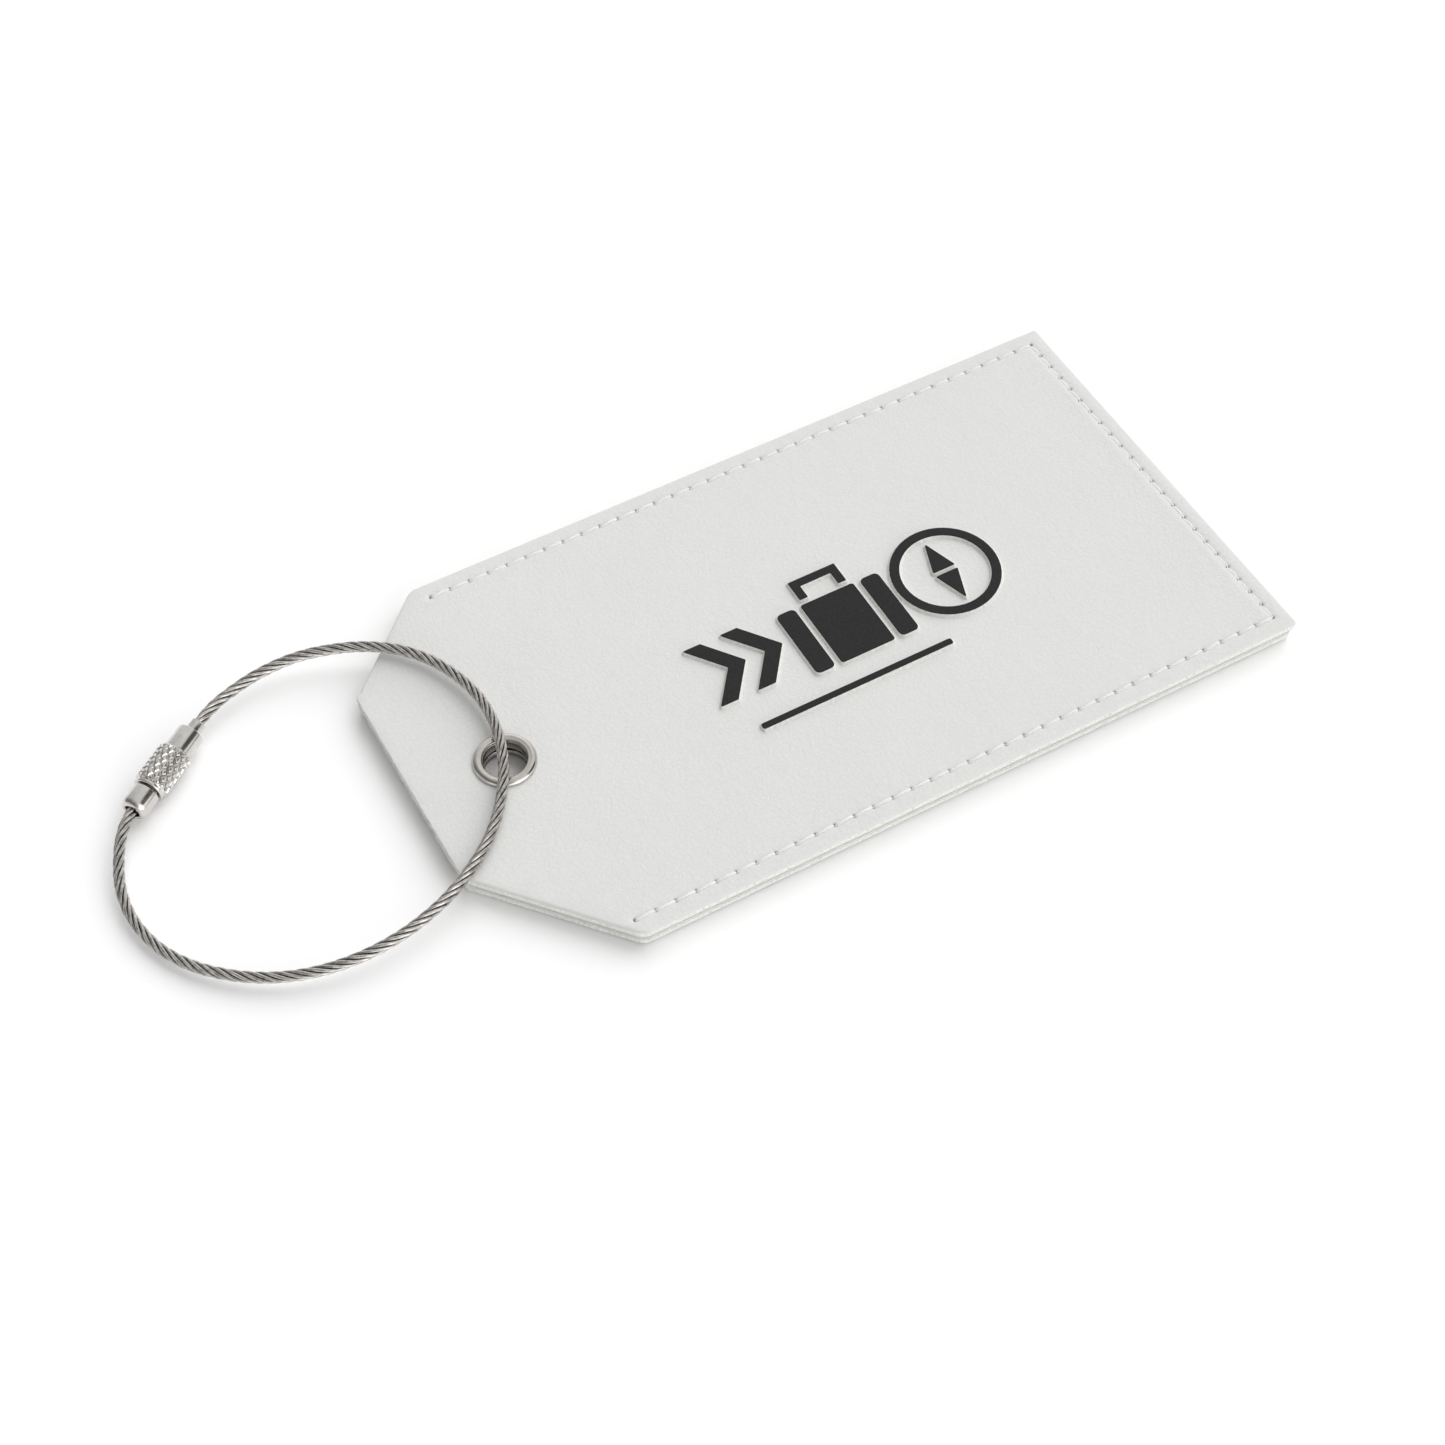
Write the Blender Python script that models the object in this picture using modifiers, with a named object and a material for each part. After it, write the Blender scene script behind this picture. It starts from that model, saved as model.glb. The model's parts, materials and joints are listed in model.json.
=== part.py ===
"""Luggage tag: two sewn leather panels with a card pocket, two eyelets and a wire rope loop.

The tag lies on its back. X runs along its length towards the sewn end, Y across its width,
and Z is up from the surface that it lies on. The origin is under the middle of the tag body.
Sizes in this file are millimetres, and MM turns them into metres.
"""
import math

import bmesh
import bpy
from mathutils import Vector

MM = 0.001

# Tag outline
TAG_LENGTH = 115.0
TAG_WIDTH = 63.2
NEAR_CHAMFER = (15.8, 18.2)      # run along X and drop along Y of the corner cut at -Y
FAR_CHAMFER = (13.8, 13.3)       # the same at +Y
SEWN_CORNER_RADIUS = 0.5
CHAMFER_CORNER_RADIUS = 2.2
MOUTH_CORNER_RADIUS = 0.7
REAR_MOUTH_SETBACK = 0.25        # the rear panel is cut a touch shorter at the pocket mouth
REAR_SEWN_END_SETBACK = 0.6
PANEL_TRIM = 0.15                # how far linings and the rear panel stay inside the outline

# Layers, as (bottom, top) heights
REAR_LEATHER_Z = (0.0, 0.95)
REAR_LINING_Z = (1.00, 1.30)
POCKET_Z = (1.35, 1.65)
CARD_Z = (1.35, 1.63)
FRONT_LINING_Z = (1.70, 2.00)
FRONT_LEATHER_Z = (2.05, 3.00)
MOTIF_Z = (3.03, 3.55)
LAYER_GAP = 0.05

# Seam
SEAM_MARGIN = 2.4
SEAM_START_X = -42.0
SEAM_CORNER_RADIUS = 0.8
THREAD_RADIUS = 0.17
GROOVE_WIDTH = 0.5
GROOVE_DEPTH = 0.4
THREAD_END_CLEARANCE = 0.3       # from the groove's end to the thread's end
TAPE_WIDTH = 3.8
TAPE_START_X = -40.5
TAPE_CORNER_RADIUS = 2.4

# Card and window
CARD_SIZE = (85.6, 54.0)
CARD_CORNER_RADIUS = 1.0
CARD_END_CLEARANCE = 0.4
WINDOW_CENTRE_X = 10.0
WINDOW_SIZE = (70.0, 40.0)
WINDOW_CORNER_RADIUS = 2.5
FILM_SIZE = (76.0, 46.0)
FILM_CLEARANCE = 0.1

# Eyelets
EYELET_X = -45.0
EYELET_BORE_RADIUS = 2.9
EYELET_BARREL_RADIUS = 3.17
EYELET_FLANGE_RADIUS = 4.2
EYELET_ROLL_RADIUS = 3.6
EYELET_HOLE_RADIUS = 3.27
WASHER_RADII = (3.25, 4.0)
WASHER_THICKNESS = 0.14
LINING_HOLE_RADIUS = 4.1
REAR_FLANGE_RECESS = (4.3, 0.47)  # radius and depth of the seat pressed into the rear leather
FRONT_FLANGE = (0.03, 0.68)       # underside and crest above the front leather
FRONT_ROLL_Z = (1.72, 1.82)       # the rolled ends of the two barrels, as (bottom, top)
REAR_ROLL_Z = (1.19, 1.28)
WASHER_GAP = 0.04

# Clasp: distances run along its axis from the outer end of the ferrule towards the stud's head
CLASP_ORIGIN = (-76.9, 25.3, 2.33)
CLASP_ANGLE = math.radians(-145.0)
ROPE_RADIUS = 0.75
ROPE_BORE_RADIUS = 0.85
FERRULE_RADIUS = 1.0
FERRULE_FLANGE = (1.3, 2.93, 3.93)  # radius, start and end
NUT_START = 1.83
NUT_END = 11.80
NUT_WALL_END = 2.83
NUT_COLLAR_RADIUS = 1.82
NUT_GRIP_RADIUS = 2.30
NUT_GRIP = (5.3, 11.3)
NUT_BAND_RADIUS = 2.05
NUT_HOLE_RADIUS = 1.1
NUT_BORE_RADIUS = 1.4
STUD_TIP = 8.3
STUD_HEAD = (12.1, 15.4)
STUD_SHANK_RADIUS = 1.28
STUD_HEAD_RADIUS = 1.85
STUD_BORE_RADIUS = 1.05
STUD_BORE_BOTTOM = 12.9
TURNED_STEPS = 32

# Wire rope: its middle line from the ferrule round to the stud, lying partly on the tag
ROPE_END_GAP = 0.3
ROPE_POINT_SPACING = 3.6
ROPE_ROUTE = [
    (-74.6, 26.7, 2.33), (-72.0, 27.7, 2.40), (-67.3, 28.6, 2.76), (-62.3, 28.4, 3.30),
    (-57.6, 27.1, 3.72), (-53.1, 24.9, 4.07), (-49.2, 21.7, 4.36), (-46.4, 17.7, 4.57),
    (-44.5, 12.9, 4.71), (-43.8, 8.0, 4.76), (-44.3, 3.1, 4.72), (-45.9, -1.7, 4.60),
    (-48.4, -6.0, 4.43), (-51.6, -9.8, 4.19), (-55.5, -12.8, 3.90), (-60.0, -15.2, 3.56),
    (-64.7, -16.7, 3.21), (-69.5, -17.4, 2.86), (-74.5, -17.2, 2.49), (-79.4, -16.1, 2.13),
    (-84.0, -14.0, 1.80), (-88.0, -11.1, 1.53), (-91.5, -7.4, 1.31), (-94.0, -3.0, 1.20),
    (-95.2, 1.9, 1.44), (-94.9, 6.7, 1.87), (-93.2, 11.4, 2.24), (-91.4, 14.5, 2.33),
]

# Motif: raised travel signs in a row along the tag
MOTIF_CENTRE = (5.4, -1.2)

HALF_LENGTH = TAG_LENGTH / 2
HALF_WIDTH = TAG_WIDTH / 2


# ---------------------------------------------------------------- scene and materials

for leftover in list(bpy.data.objects):
    bpy.data.objects.remove(leftover)

PARTS = bpy.data.collections.new("luggage_tag")
CUTTERS = bpy.data.collections.new("cutters")
bpy.context.scene.collection.children.link(PARTS)
bpy.context.scene.collection.children.link(CUTTERS)


def principled(name, colour, roughness, metallic=0.0, alpha=1.0):
    material = bpy.data.materials.new(name)
    material.use_nodes = True
    shader = material.node_tree.nodes["Principled BSDF"]
    shader.inputs["Base Color"].default_value = (*colour, 1.0)
    shader.inputs["Roughness"].default_value = roughness
    shader.inputs["Metallic"].default_value = metallic
    shader.inputs["Alpha"].default_value = alpha
    return material


LEATHER = principled("light_grey_leather", (0.74, 0.74, 0.72), 0.6)
LINING = principled("warm_grey_lining", (0.58, 0.56, 0.52), 0.85)
TAPE = principled("tan_edge_tape", (0.42, 0.36, 0.30), 0.8)
FILM = principled("clear_window_film", (0.9, 0.92, 0.93), 0.1, alpha=0.3)
CARD = principled("white_card", (0.88, 0.87, 0.84), 0.7)
NICKEL = principled("nickel_eyelet", (0.66, 0.65, 0.62), 0.22, 1.0)
THREAD = principled("off_white_thread", (0.86, 0.85, 0.81), 0.75)
INK = principled("black_raised_print", (0.03, 0.03, 0.03), 0.55)
STEEL = principled("stainless_rope", (0.52, 0.50, 0.48), 0.32, 1.0)
CLASP_STEEL = principled("stainless_clasp", (0.70, 0.69, 0.66), 0.25, 1.0)


# ---------------------------------------------------------------- outlines, in millimetres

def arc_corner(before, corner, after, radius, steps):
    """Points of a round corner between two straight sides."""
    corner = Vector(corner)
    to_before = (Vector(before) - corner).normalized()
    to_after = (Vector(after) - corner).normalized()
    half_angle = to_before.angle(to_after) / 2
    centre = corner + (to_before + to_after).normalized() * (radius / math.sin(half_angle))
    start = corner + to_before * (radius / math.tan(half_angle)) - centre
    end = corner + to_after * (radius / math.tan(half_angle)) - centre
    sweep = start.angle_signed(end)
    points = []
    for step in range(steps + 1):
        turn = -sweep * step / steps
        x = start.x * math.cos(turn) - start.y * math.sin(turn)
        y = start.x * math.sin(turn) + start.y * math.cos(turn)
        points.append((centre.x + x, centre.y + y))
    return points


def rounded_polygon(corners, radii, steps=4):
    outline = []
    for index, corner in enumerate(corners):
        before = corners[index - 1]
        after = corners[(index + 1) % len(corners)]
        outline += arc_corner(before, corner, after, radii[index], steps)
    return outline


def rounded_rectangle(centre, size, radius, steps=4):
    half_x, half_y = size[0] / 2, size[1] / 2
    signs = ((-1, -1), (1, -1), (1, 1), (-1, 1))
    corners = [(centre[0] + sx * half_x, centre[1] + sy * half_y) for sx, sy in signs]
    return rounded_polygon(corners, [radius] * 4, steps)


def circle(centre, radius, steps=TURNED_STEPS):
    angles = [2 * math.pi * step / steps for step in range(steps)]
    return [(centre[0] + radius * math.cos(a), centre[1] + radius * math.sin(a)) for a in angles]


def tag_outline(trim=0.0, mouth_setback=0.0, sewn_setback=0.0):
    """The tag's six-sided outline, moved in by trim, with its two ends moved in further."""
    top, bottom = HALF_WIDTH - trim, -HALF_WIDTH + trim
    right = HALF_LENGTH - max(trim, sewn_setback)
    left = -HALF_LENGTH + mouth_setback
    near_slope = NEAR_CHAMFER[1] / NEAR_CHAMFER[0]
    far_slope = FAR_CHAMFER[1] / FAR_CHAMFER[0]
    near_trim = trim * math.hypot(1, near_slope)
    far_trim = trim * math.hypot(1, far_slope)
    near_mouth_y = -HALF_WIDTH + NEAR_CHAMFER[1] - mouth_setback * near_slope + near_trim
    far_mouth_y = HALF_WIDTH - FAR_CHAMFER[1] + mouth_setback * far_slope - far_trim
    near_shoulder_x = left + (near_mouth_y - bottom) / near_slope
    far_shoulder_x = left + (top - far_mouth_y) / far_slope
    corners = [
        (left, near_mouth_y), (near_shoulder_x, bottom), (right, bottom),
        (right, top), (far_shoulder_x, top), (left, far_mouth_y),
    ]
    radii = [
        MOUTH_CORNER_RADIUS, CHAMFER_CORNER_RADIUS, SEWN_CORNER_RADIUS,
        SEWN_CORNER_RADIUS, CHAMFER_CORNER_RADIUS, MOUTH_CORNER_RADIUS,
    ]
    return rounded_polygon(corners, radii)


def seam_path(margin, start_x, radius, steps=3):
    """The open path that runs round three sides, from the far side to the near one."""
    x, y = HALF_LENGTH - margin, HALF_WIDTH - margin
    far_start, near_end = (start_x, y), (start_x, -y)
    path = [far_start]
    path += arc_corner(far_start, (x, y), (x, -y), radius, steps)
    path += arc_corner((x, y), (x, -y), near_end, radius, steps)
    return path + [near_end]


def offset_path(path, distance):
    """The same open path moved sideways, with mitred corners."""
    moved = []
    for index, point in enumerate(path):
        here = Vector(point)
        ahead = Vector(path[min(index + 1, len(path) - 1)]) - here
        behind = here - Vector(path[max(index - 1, 0)])
        first = (behind if behind.length else ahead).normalized()
        second = (ahead if ahead.length else behind).normalized()
        normal = Vector((-first.y - second.y, first.x + second.x)).normalized()
        stretch = 1 / max(0.3, normal.dot(Vector((-first.y, first.x))))
        moved.append(tuple(here + normal * distance * stretch))
    return moved


def strip_outline(path, width):
    return offset_path(path, width / 2) + offset_path(path, -width / 2)[::-1]


# ---------------------------------------------------------------- shape helpers

def place(obj, material, collection=PARTS):
    obj.data.materials.append(material)
    collection.objects.link(obj)
    return obj


def plate(name, loops, heights, material):
    """A flat piece: the first loop is its outline and the others are holes."""
    curve = bpy.data.curves.new(name, "CURVE")
    curve.dimensions = "2D"
    curve.fill_mode = "BOTH"
    curve.extrude = (heights[1] - heights[0]) / 2 * MM
    for loop in loops:
        spline = curve.splines.new("POLY")
        spline.points.add(len(loop) - 1)
        for point, (x, y) in zip(spline.points, loop):
            point.co = (x * MM, y * MM, 0, 1)
        spline.use_cyclic_u = True
    obj = bpy.data.objects.new(name, curve)
    obj.location.z = (heights[0] + heights[1]) / 2 * MM
    return place(obj, material)


def as_mesh(obj):
    """Replace a curve object by a welded mesh object of the same name and place."""
    bpy.context.view_layer.update()
    evaluated = obj.evaluated_get(bpy.context.evaluated_depsgraph_get())
    mesh = bpy.data.meshes.new_from_object(evaluated)
    welded = bmesh.new()
    welded.from_mesh(mesh)
    bmesh.ops.remove_doubles(welded, verts=welded.verts, dist=0.002 * MM)
    bmesh.ops.recalc_face_normals(welded, faces=welded.faces)
    welded.to_mesh(mesh)
    welded.free()
    name, matrix = obj.name, obj.matrix_world.copy()
    collection = obj.users_collection[0]
    bpy.data.objects.remove(obj)
    solid = bpy.data.objects.new(name, mesh)
    solid.matrix_world = matrix
    collection.objects.link(solid)
    return solid


def cutter(obj):
    PARTS.objects.unlink(obj)
    CUTTERS.objects.link(obj)
    obj.hide_render = True
    obj.display_type = "WIRE"
    return obj


def cut(target, tool):
    boolean = target.modifiers.new("cut_" + tool.name, "BOOLEAN")
    boolean.operation = "DIFFERENCE"
    boolean.solver = "EXACT"
    boolean.object = tool


def turned(name, profile, material, steps=TURNED_STEPS, closed=True):
    """A turned piece about its own Z. The profile is (radius, height), down the outer side."""
    mesh = bpy.data.meshes.new(name)
    edges = [(index, index + 1) for index in range(len(profile) - 1)]
    if closed:
        edges.append((len(profile) - 1, 0))
    mesh.from_pydata([(r * MM, 0, z * MM) for r, z in profile], edges, [])
    obj = bpy.data.objects.new(name, mesh)
    screw = obj.modifiers.new("turn", "SCREW")
    screw.axis = "Z"
    screw.steps = steps
    screw.render_steps = steps
    screw.use_merge_vertices = True
    screw.merge_threshold = 0.00001
    screw.use_smooth_shade = True
    return place(obj, material)


def tube(name, points, radius, material):
    """A round bar or cord along a list of points."""
    curve = bpy.data.curves.new(name, "CURVE")
    curve.dimensions = "3D"
    curve.bevel_depth = radius * MM
    curve.bevel_resolution = 2
    curve.use_fill_caps = True
    spline = curve.splines.new("POLY")
    spline.points.add(len(points) - 1)
    for point, position in zip(spline.points, points):
        point.co = (*(Vector(position) * MM), 1)
    return place(bpy.data.objects.new(name, curve), material)


# ---------------------------------------------------------------- panels

EYELET_CENTRE = (EYELET_X, 0.0)


def groove_cutter(name, heights):
    path = seam_path(SEAM_MARGIN, SEAM_START_X, SEAM_CORNER_RADIUS)
    return cutter(as_mesh(plate(name, [strip_outline(path, GROOVE_WIDTH)], heights, LEATHER)))


def make_front_panel():
    hole = circle(EYELET_CENTRE, EYELET_HOLE_RADIUS)
    leather = as_mesh(plate("front_leather", [tag_outline(), hole], FRONT_LEATHER_Z, LEATHER))
    top = FRONT_LEATHER_Z[1]
    cut(leather, groove_cutter("front_seam_groove", (top - GROOVE_DEPTH, top + 1)))
    lining_hole = circle(EYELET_CENTRE, LINING_HOLE_RADIUS)
    plate("front_lining", [tag_outline(PANEL_TRIM), lining_hole], FRONT_LINING_Z, LINING)


def make_rear_panel():
    outline = tag_outline(PANEL_TRIM, REAR_MOUTH_SETBACK, REAR_SEWN_END_SETBACK)
    window = rounded_rectangle((WINDOW_CENTRE_X, 0), WINDOW_SIZE, WINDOW_CORNER_RADIUS)
    hole = circle(EYELET_CENTRE, EYELET_HOLE_RADIUS)
    leather = as_mesh(plate("rear_leather", [outline, window, hole], REAR_LEATHER_Z, LEATHER))
    cut(leather, groove_cutter("rear_seam_groove", (-1, GROOVE_DEPTH)))
    seat_radius, seat_depth = REAR_FLANGE_RECESS
    seat = plate("rear_eyelet_seat", [circle(EYELET_CENTRE, seat_radius)], (-1, seat_depth), LEATHER)
    cut(leather, cutter(as_mesh(seat)))

    lining_outline = tag_outline(2 * PANEL_TRIM, REAR_MOUTH_SETBACK, REAR_SEWN_END_SETBACK)
    lining_hole = circle(EYELET_CENTRE, LINING_HOLE_RADIUS)
    film_opening_size = [side + 2 * FILM_CLEARANCE for side in FILM_SIZE]
    film_opening = rounded_rectangle((WINDOW_CENTRE_X, 0), film_opening_size, WINDOW_CORNER_RADIUS)
    plate("rear_lining", [lining_outline, film_opening, lining_hole], REAR_LINING_Z, LINING)
    film = rounded_rectangle((WINDOW_CENTRE_X, 0), FILM_SIZE, WINDOW_CORNER_RADIUS)
    plate("window_film", [film], REAR_LINING_Z, FILM)


def make_pocket():
    edge = REAR_SEWN_END_SETBACK + TAPE_WIDTH / 2
    path = seam_path(edge, TAPE_START_X, TAPE_CORNER_RADIUS)
    plate("seam_tape", [strip_outline(path, TAPE_WIDTH)], POCKET_Z, TAPE)
    card_right = HALF_LENGTH - edge - TAPE_WIDTH / 2 - CARD_END_CLEARANCE
    card_centre = (card_right - CARD_SIZE[0] / 2, 0)
    card = rounded_rectangle(card_centre, CARD_SIZE, CARD_CORNER_RADIUS)
    plate("address_card", [card], CARD_Z, CARD)


def make_seam_threads():
    path = seam_path(SEAM_MARGIN, SEAM_START_X + THREAD_END_CLEARANCE, SEAM_CORNER_RADIUS)
    front_z = FRONT_LEATHER_Z[1] - GROOVE_DEPTH + LAYER_GAP + THREAD_RADIUS
    rear_z = GROOVE_DEPTH - LAYER_GAP - THREAD_RADIUS
    tube("seam_thread_front", [(x, y, front_z) for x, y in path], THREAD_RADIUS, THREAD)
    tube("seam_thread_rear", [(x, y, rear_z) for x, y in path], THREAD_RADIUS, THREAD)


# ---------------------------------------------------------------- eyelets

def eyelet_profile(flange_top, flange_seat, roll_top, roll_bottom):
    """Flange on top, barrel through the leather, and its lower end rolled out."""
    bore, barrel = EYELET_BORE_RADIUS, EYELET_BARREL_RADIUS
    flange, roll = EYELET_FLANGE_RADIUS, EYELET_ROLL_RADIUS
    height = flange_top - flange_seat
    return [
        (bore + 0.55, flange_top), (flange - 0.30, flange_top - 0.15 * height),
        (flange - 0.06, flange_top - 0.50 * height), (flange, flange_seat + 0.15 * height),
        (flange - 0.05, flange_seat), (barrel, flange_seat),
        (barrel, roll_top), (roll, roll_top), (roll, roll_bottom), (bore, roll_bottom),
        (bore, flange_top - 0.55 * height), (bore + 0.15, flange_top - 0.2 * height),
    ]


def make_eyelets():
    flange_seat, flange_top = (FRONT_LEATHER_Z[1] + height for height in FRONT_FLANGE)
    front_profile = eyelet_profile(flange_top, flange_seat, FRONT_ROLL_Z[1], FRONT_ROLL_Z[0])
    front = turned("front_eyelet", front_profile, NICKEL)
    front.location.x = EYELET_X * MM
    make_washer("front_eyelet_washer", FRONT_LEATHER_Z[0] - WASHER_GAP - WASHER_THICKNESS)

    seat_depth = REAR_FLANGE_RECESS[1] - LAYER_GAP
    rear_profile = eyelet_profile(0.0, -seat_depth, -REAR_ROLL_Z[0], -REAR_ROLL_Z[1])
    rear = turned("rear_eyelet", rear_profile, NICKEL)
    rear.location.x = EYELET_X * MM
    rear.rotation_euler.x = math.pi
    make_washer("rear_eyelet_washer", REAR_LEATHER_Z[1] + LAYER_GAP)


def make_washer(name, bottom):
    inner, outer = WASHER_RADII
    top = bottom + WASHER_THICKNESS
    profile = [(inner, top), (outer, top), (outer, bottom), (inner, bottom)]
    turned(name, profile, NICKEL).location.x = EYELET_X * MM


# ---------------------------------------------------------------- raised motif

def motif_piece(name, loops):
    moved = [[(x + MOTIF_CENTRE[0], y + MOTIF_CENTRE[1]) for x, y in loop] for loop in loops]
    plate("motif_" + name, moved, MOTIF_Z, INK)


def chevron(x, width, reach, half_height):
    """An arrowhead that points along +X, with its point at x + reach."""
    return [
        (x, half_height), (x + width, half_height), (x + width + reach, 0),
        (x + width, -half_height), (x, -half_height), (x + reach, 0),
    ]


def make_arrows():
    width, reach, half_height = 2.6, 4.0, 5.2
    for name, start_x in (("arrow_left", -22.2), ("arrow_right", -16.6)):
        motif_piece(name, [chevron(start_x, width, reach, half_height)])


def make_suitcase():
    """A middle, two rounded ends set apart by slots, and a carrying handle."""
    centre_x, centre_y, height = -0.6, -1.2, 11.0
    end_offset, end_width, middle_width = 6.5, 2.8, 8.2
    for name, side in (("case_left", -1), ("case_right", 1)):
        centre = (centre_x + side * end_offset, centre_y)
        motif_piece(name, [rounded_rectangle(centre, (end_width, height), 0.7)])
    middle = rounded_rectangle((centre_x, centre_y), (middle_width, height), 0.4)
    motif_piece("case_middle", [middle])
    half_span, foot_y, top_y, bar = 3.0, centre_y + 6.4, centre_y + 9.1, 1.2
    left, right = centre_x - half_span, centre_x + half_span
    handle = [(left, foot_y), (left, top_y), (right, top_y), (right, foot_y)]
    motif_piece("case_handle", [strip_outline(handle, bar)])


def make_compass():
    """A ring with a needle in two halves."""
    centre, outer, inner = (15.6, 0.0), 7.6, 6.3
    motif_piece("compass_ring", [circle(centre, outer, 48), circle(centre, inner, 48)])
    needle_length, needle_half_width, half_slot = 5.3, 1.7, 0.35
    for name, side in (("north", 1), ("south", -1)):
        base = [(centre[0] + sign * needle_half_width, side * half_slot) for sign in (-1, 1)]
        motif_piece("needle_" + name, [base + [(centre[0], side * needle_length)]])


def make_motif():
    """Travel signs in a row, each cut into stencil pieces: two arrows, a suitcase, a compass."""
    make_arrows()
    make_suitcase()
    make_compass()
    motif_piece("underline", [rounded_rectangle((-4.6, -10.6), (29.0, 0.9), 0.3)])


# ---------------------------------------------------------------- clasp and rope

def clasp_axis_empty():
    """An empty on the clasp's axis: its Z points from the ferrule to the stud's head."""
    empty = bpy.data.objects.new("clasp_axis", None)
    empty.location = Vector(CLASP_ORIGIN) * MM
    empty.rotation_euler = (0, math.pi / 2, CLASP_ANGLE)
    PARTS.objects.link(empty)
    return empty


def clasp_point(distance):
    origin = Vector(CLASP_ORIGIN)
    return origin + Vector((math.cos(CLASP_ANGLE), math.sin(CLASP_ANGLE), 0)) * distance


def make_clasp():
    flange_radius, flange_start, flange_end = FERRULE_FLANGE
    ferrule = turned("crimp_ferrule", [
        (flange_radius, flange_end), (flange_radius, flange_start),
        (FERRULE_RADIUS, flange_start), (FERRULE_RADIUS, 0.12),
        (FERRULE_RADIUS - 0.1, 0.0), (ROPE_BORE_RADIUS, 0.0), (ROPE_BORE_RADIUS, flange_end),
    ], CLASP_STEEL, steps=24)
    nut = turned("knurled_nut", [
        (NUT_BAND_RADIUS - 0.2, NUT_END), (NUT_BAND_RADIUS, NUT_END - 0.2),
        (NUT_BAND_RADIUS, NUT_GRIP[1]), (NUT_GRIP_RADIUS, NUT_GRIP[1] - 0.15),
        (NUT_GRIP_RADIUS, NUT_GRIP[0] + 0.15), (NUT_COLLAR_RADIUS, NUT_GRIP[0]),
        (NUT_COLLAR_RADIUS, NUT_START + 0.2), (NUT_COLLAR_RADIUS - 0.2, NUT_START),
        (NUT_HOLE_RADIUS, NUT_START), (NUT_HOLE_RADIUS, NUT_WALL_END),
        (NUT_BORE_RADIUS, NUT_WALL_END), (NUT_BORE_RADIUS, NUT_END),
    ], CLASP_STEEL)
    head_start, head_end = STUD_HEAD
    stud = turned("threaded_stud", [
        (0, STUD_BORE_BOTTOM), (STUD_BORE_RADIUS, STUD_BORE_BOTTOM),
        (STUD_BORE_RADIUS, head_end - 0.05), (STUD_BORE_RADIUS + 0.15, head_end),
        (STUD_HEAD_RADIUS - 0.42, head_end - 0.12), (STUD_HEAD_RADIUS - 0.16, head_end - 0.42),
        (STUD_HEAD_RADIUS, head_end - 0.95), (STUD_HEAD_RADIUS, head_start + 0.15),
        (STUD_HEAD_RADIUS - 0.15, head_start), (STUD_SHANK_RADIUS, head_start),
        (STUD_SHANK_RADIUS, STUD_TIP + 0.2), (STUD_SHANK_RADIUS - 0.2, STUD_TIP), (0, STUD_TIP),
    ], CLASP_STEEL, closed=False)
    axis = clasp_axis_empty()
    for piece in (ferrule, nut, stud):
        piece.parent = axis


def smooth_route(points, spacing):
    """Evenly spaced points on a smooth curve through the route's points."""
    points = [Vector(p) for p in points]
    padded = [2 * points[0] - points[1]] + points + [2 * points[-1] - points[-2]]
    fine = []
    for a, b, c, d in zip(padded, padded[1:], padded[2:], padded[3:]):
        for step in range(12):
            t = step / 12
            fine.append(0.5 * (2 * b + (c - a) * t + (2 * a - 5 * b + 4 * c - d) * t * t
                               + (3 * b - a - 3 * c + d) * t ** 3))
    fine.append(points[-1])
    lengths = [0.0]
    for before, after in zip(fine, fine[1:]):
        lengths.append(lengths[-1] + (after - before).length)
    count = round(lengths[-1] / spacing)
    even, index = [], 0
    for number in range(count + 1):
        wanted = lengths[-1] * number / count
        while index < len(fine) - 2 and lengths[index + 1] < wanted:
            index += 1
        share = (wanted - lengths[index]) / (lengths[index + 1] - lengths[index])
        even.append(fine[index].lerp(fine[index + 1], share))
    return even


def make_rope():
    ends = clasp_point(-ROPE_END_GAP), clasp_point(STUD_HEAD[1] + ROPE_END_GAP)
    route = [ends[0]] + ROPE_ROUTE + [ends[1]]
    tube("wire_rope", smooth_route(route, ROPE_POINT_SPACING), ROPE_RADIUS, STEEL)


make_front_panel()
make_rear_panel()
make_pocket()
make_seam_threads()
make_eyelets()
make_motif()
make_clasp()
make_rope()
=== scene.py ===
# The looks of a leather luggage tag with a wire rope loop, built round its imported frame.
# Lengths are millimetres until piece() turns them into metres. The frame's places come from
# the CAD nodes: outlines are read from their flat faces, and the clasp's axis from its joint.
import json
import math
import random
from math import cos, pi, radians, sin

import bpy
import numpy as np
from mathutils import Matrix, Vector, noise
from mathutils.geometry import delaunay_2d_cdt, tessellate_polygon


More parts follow.
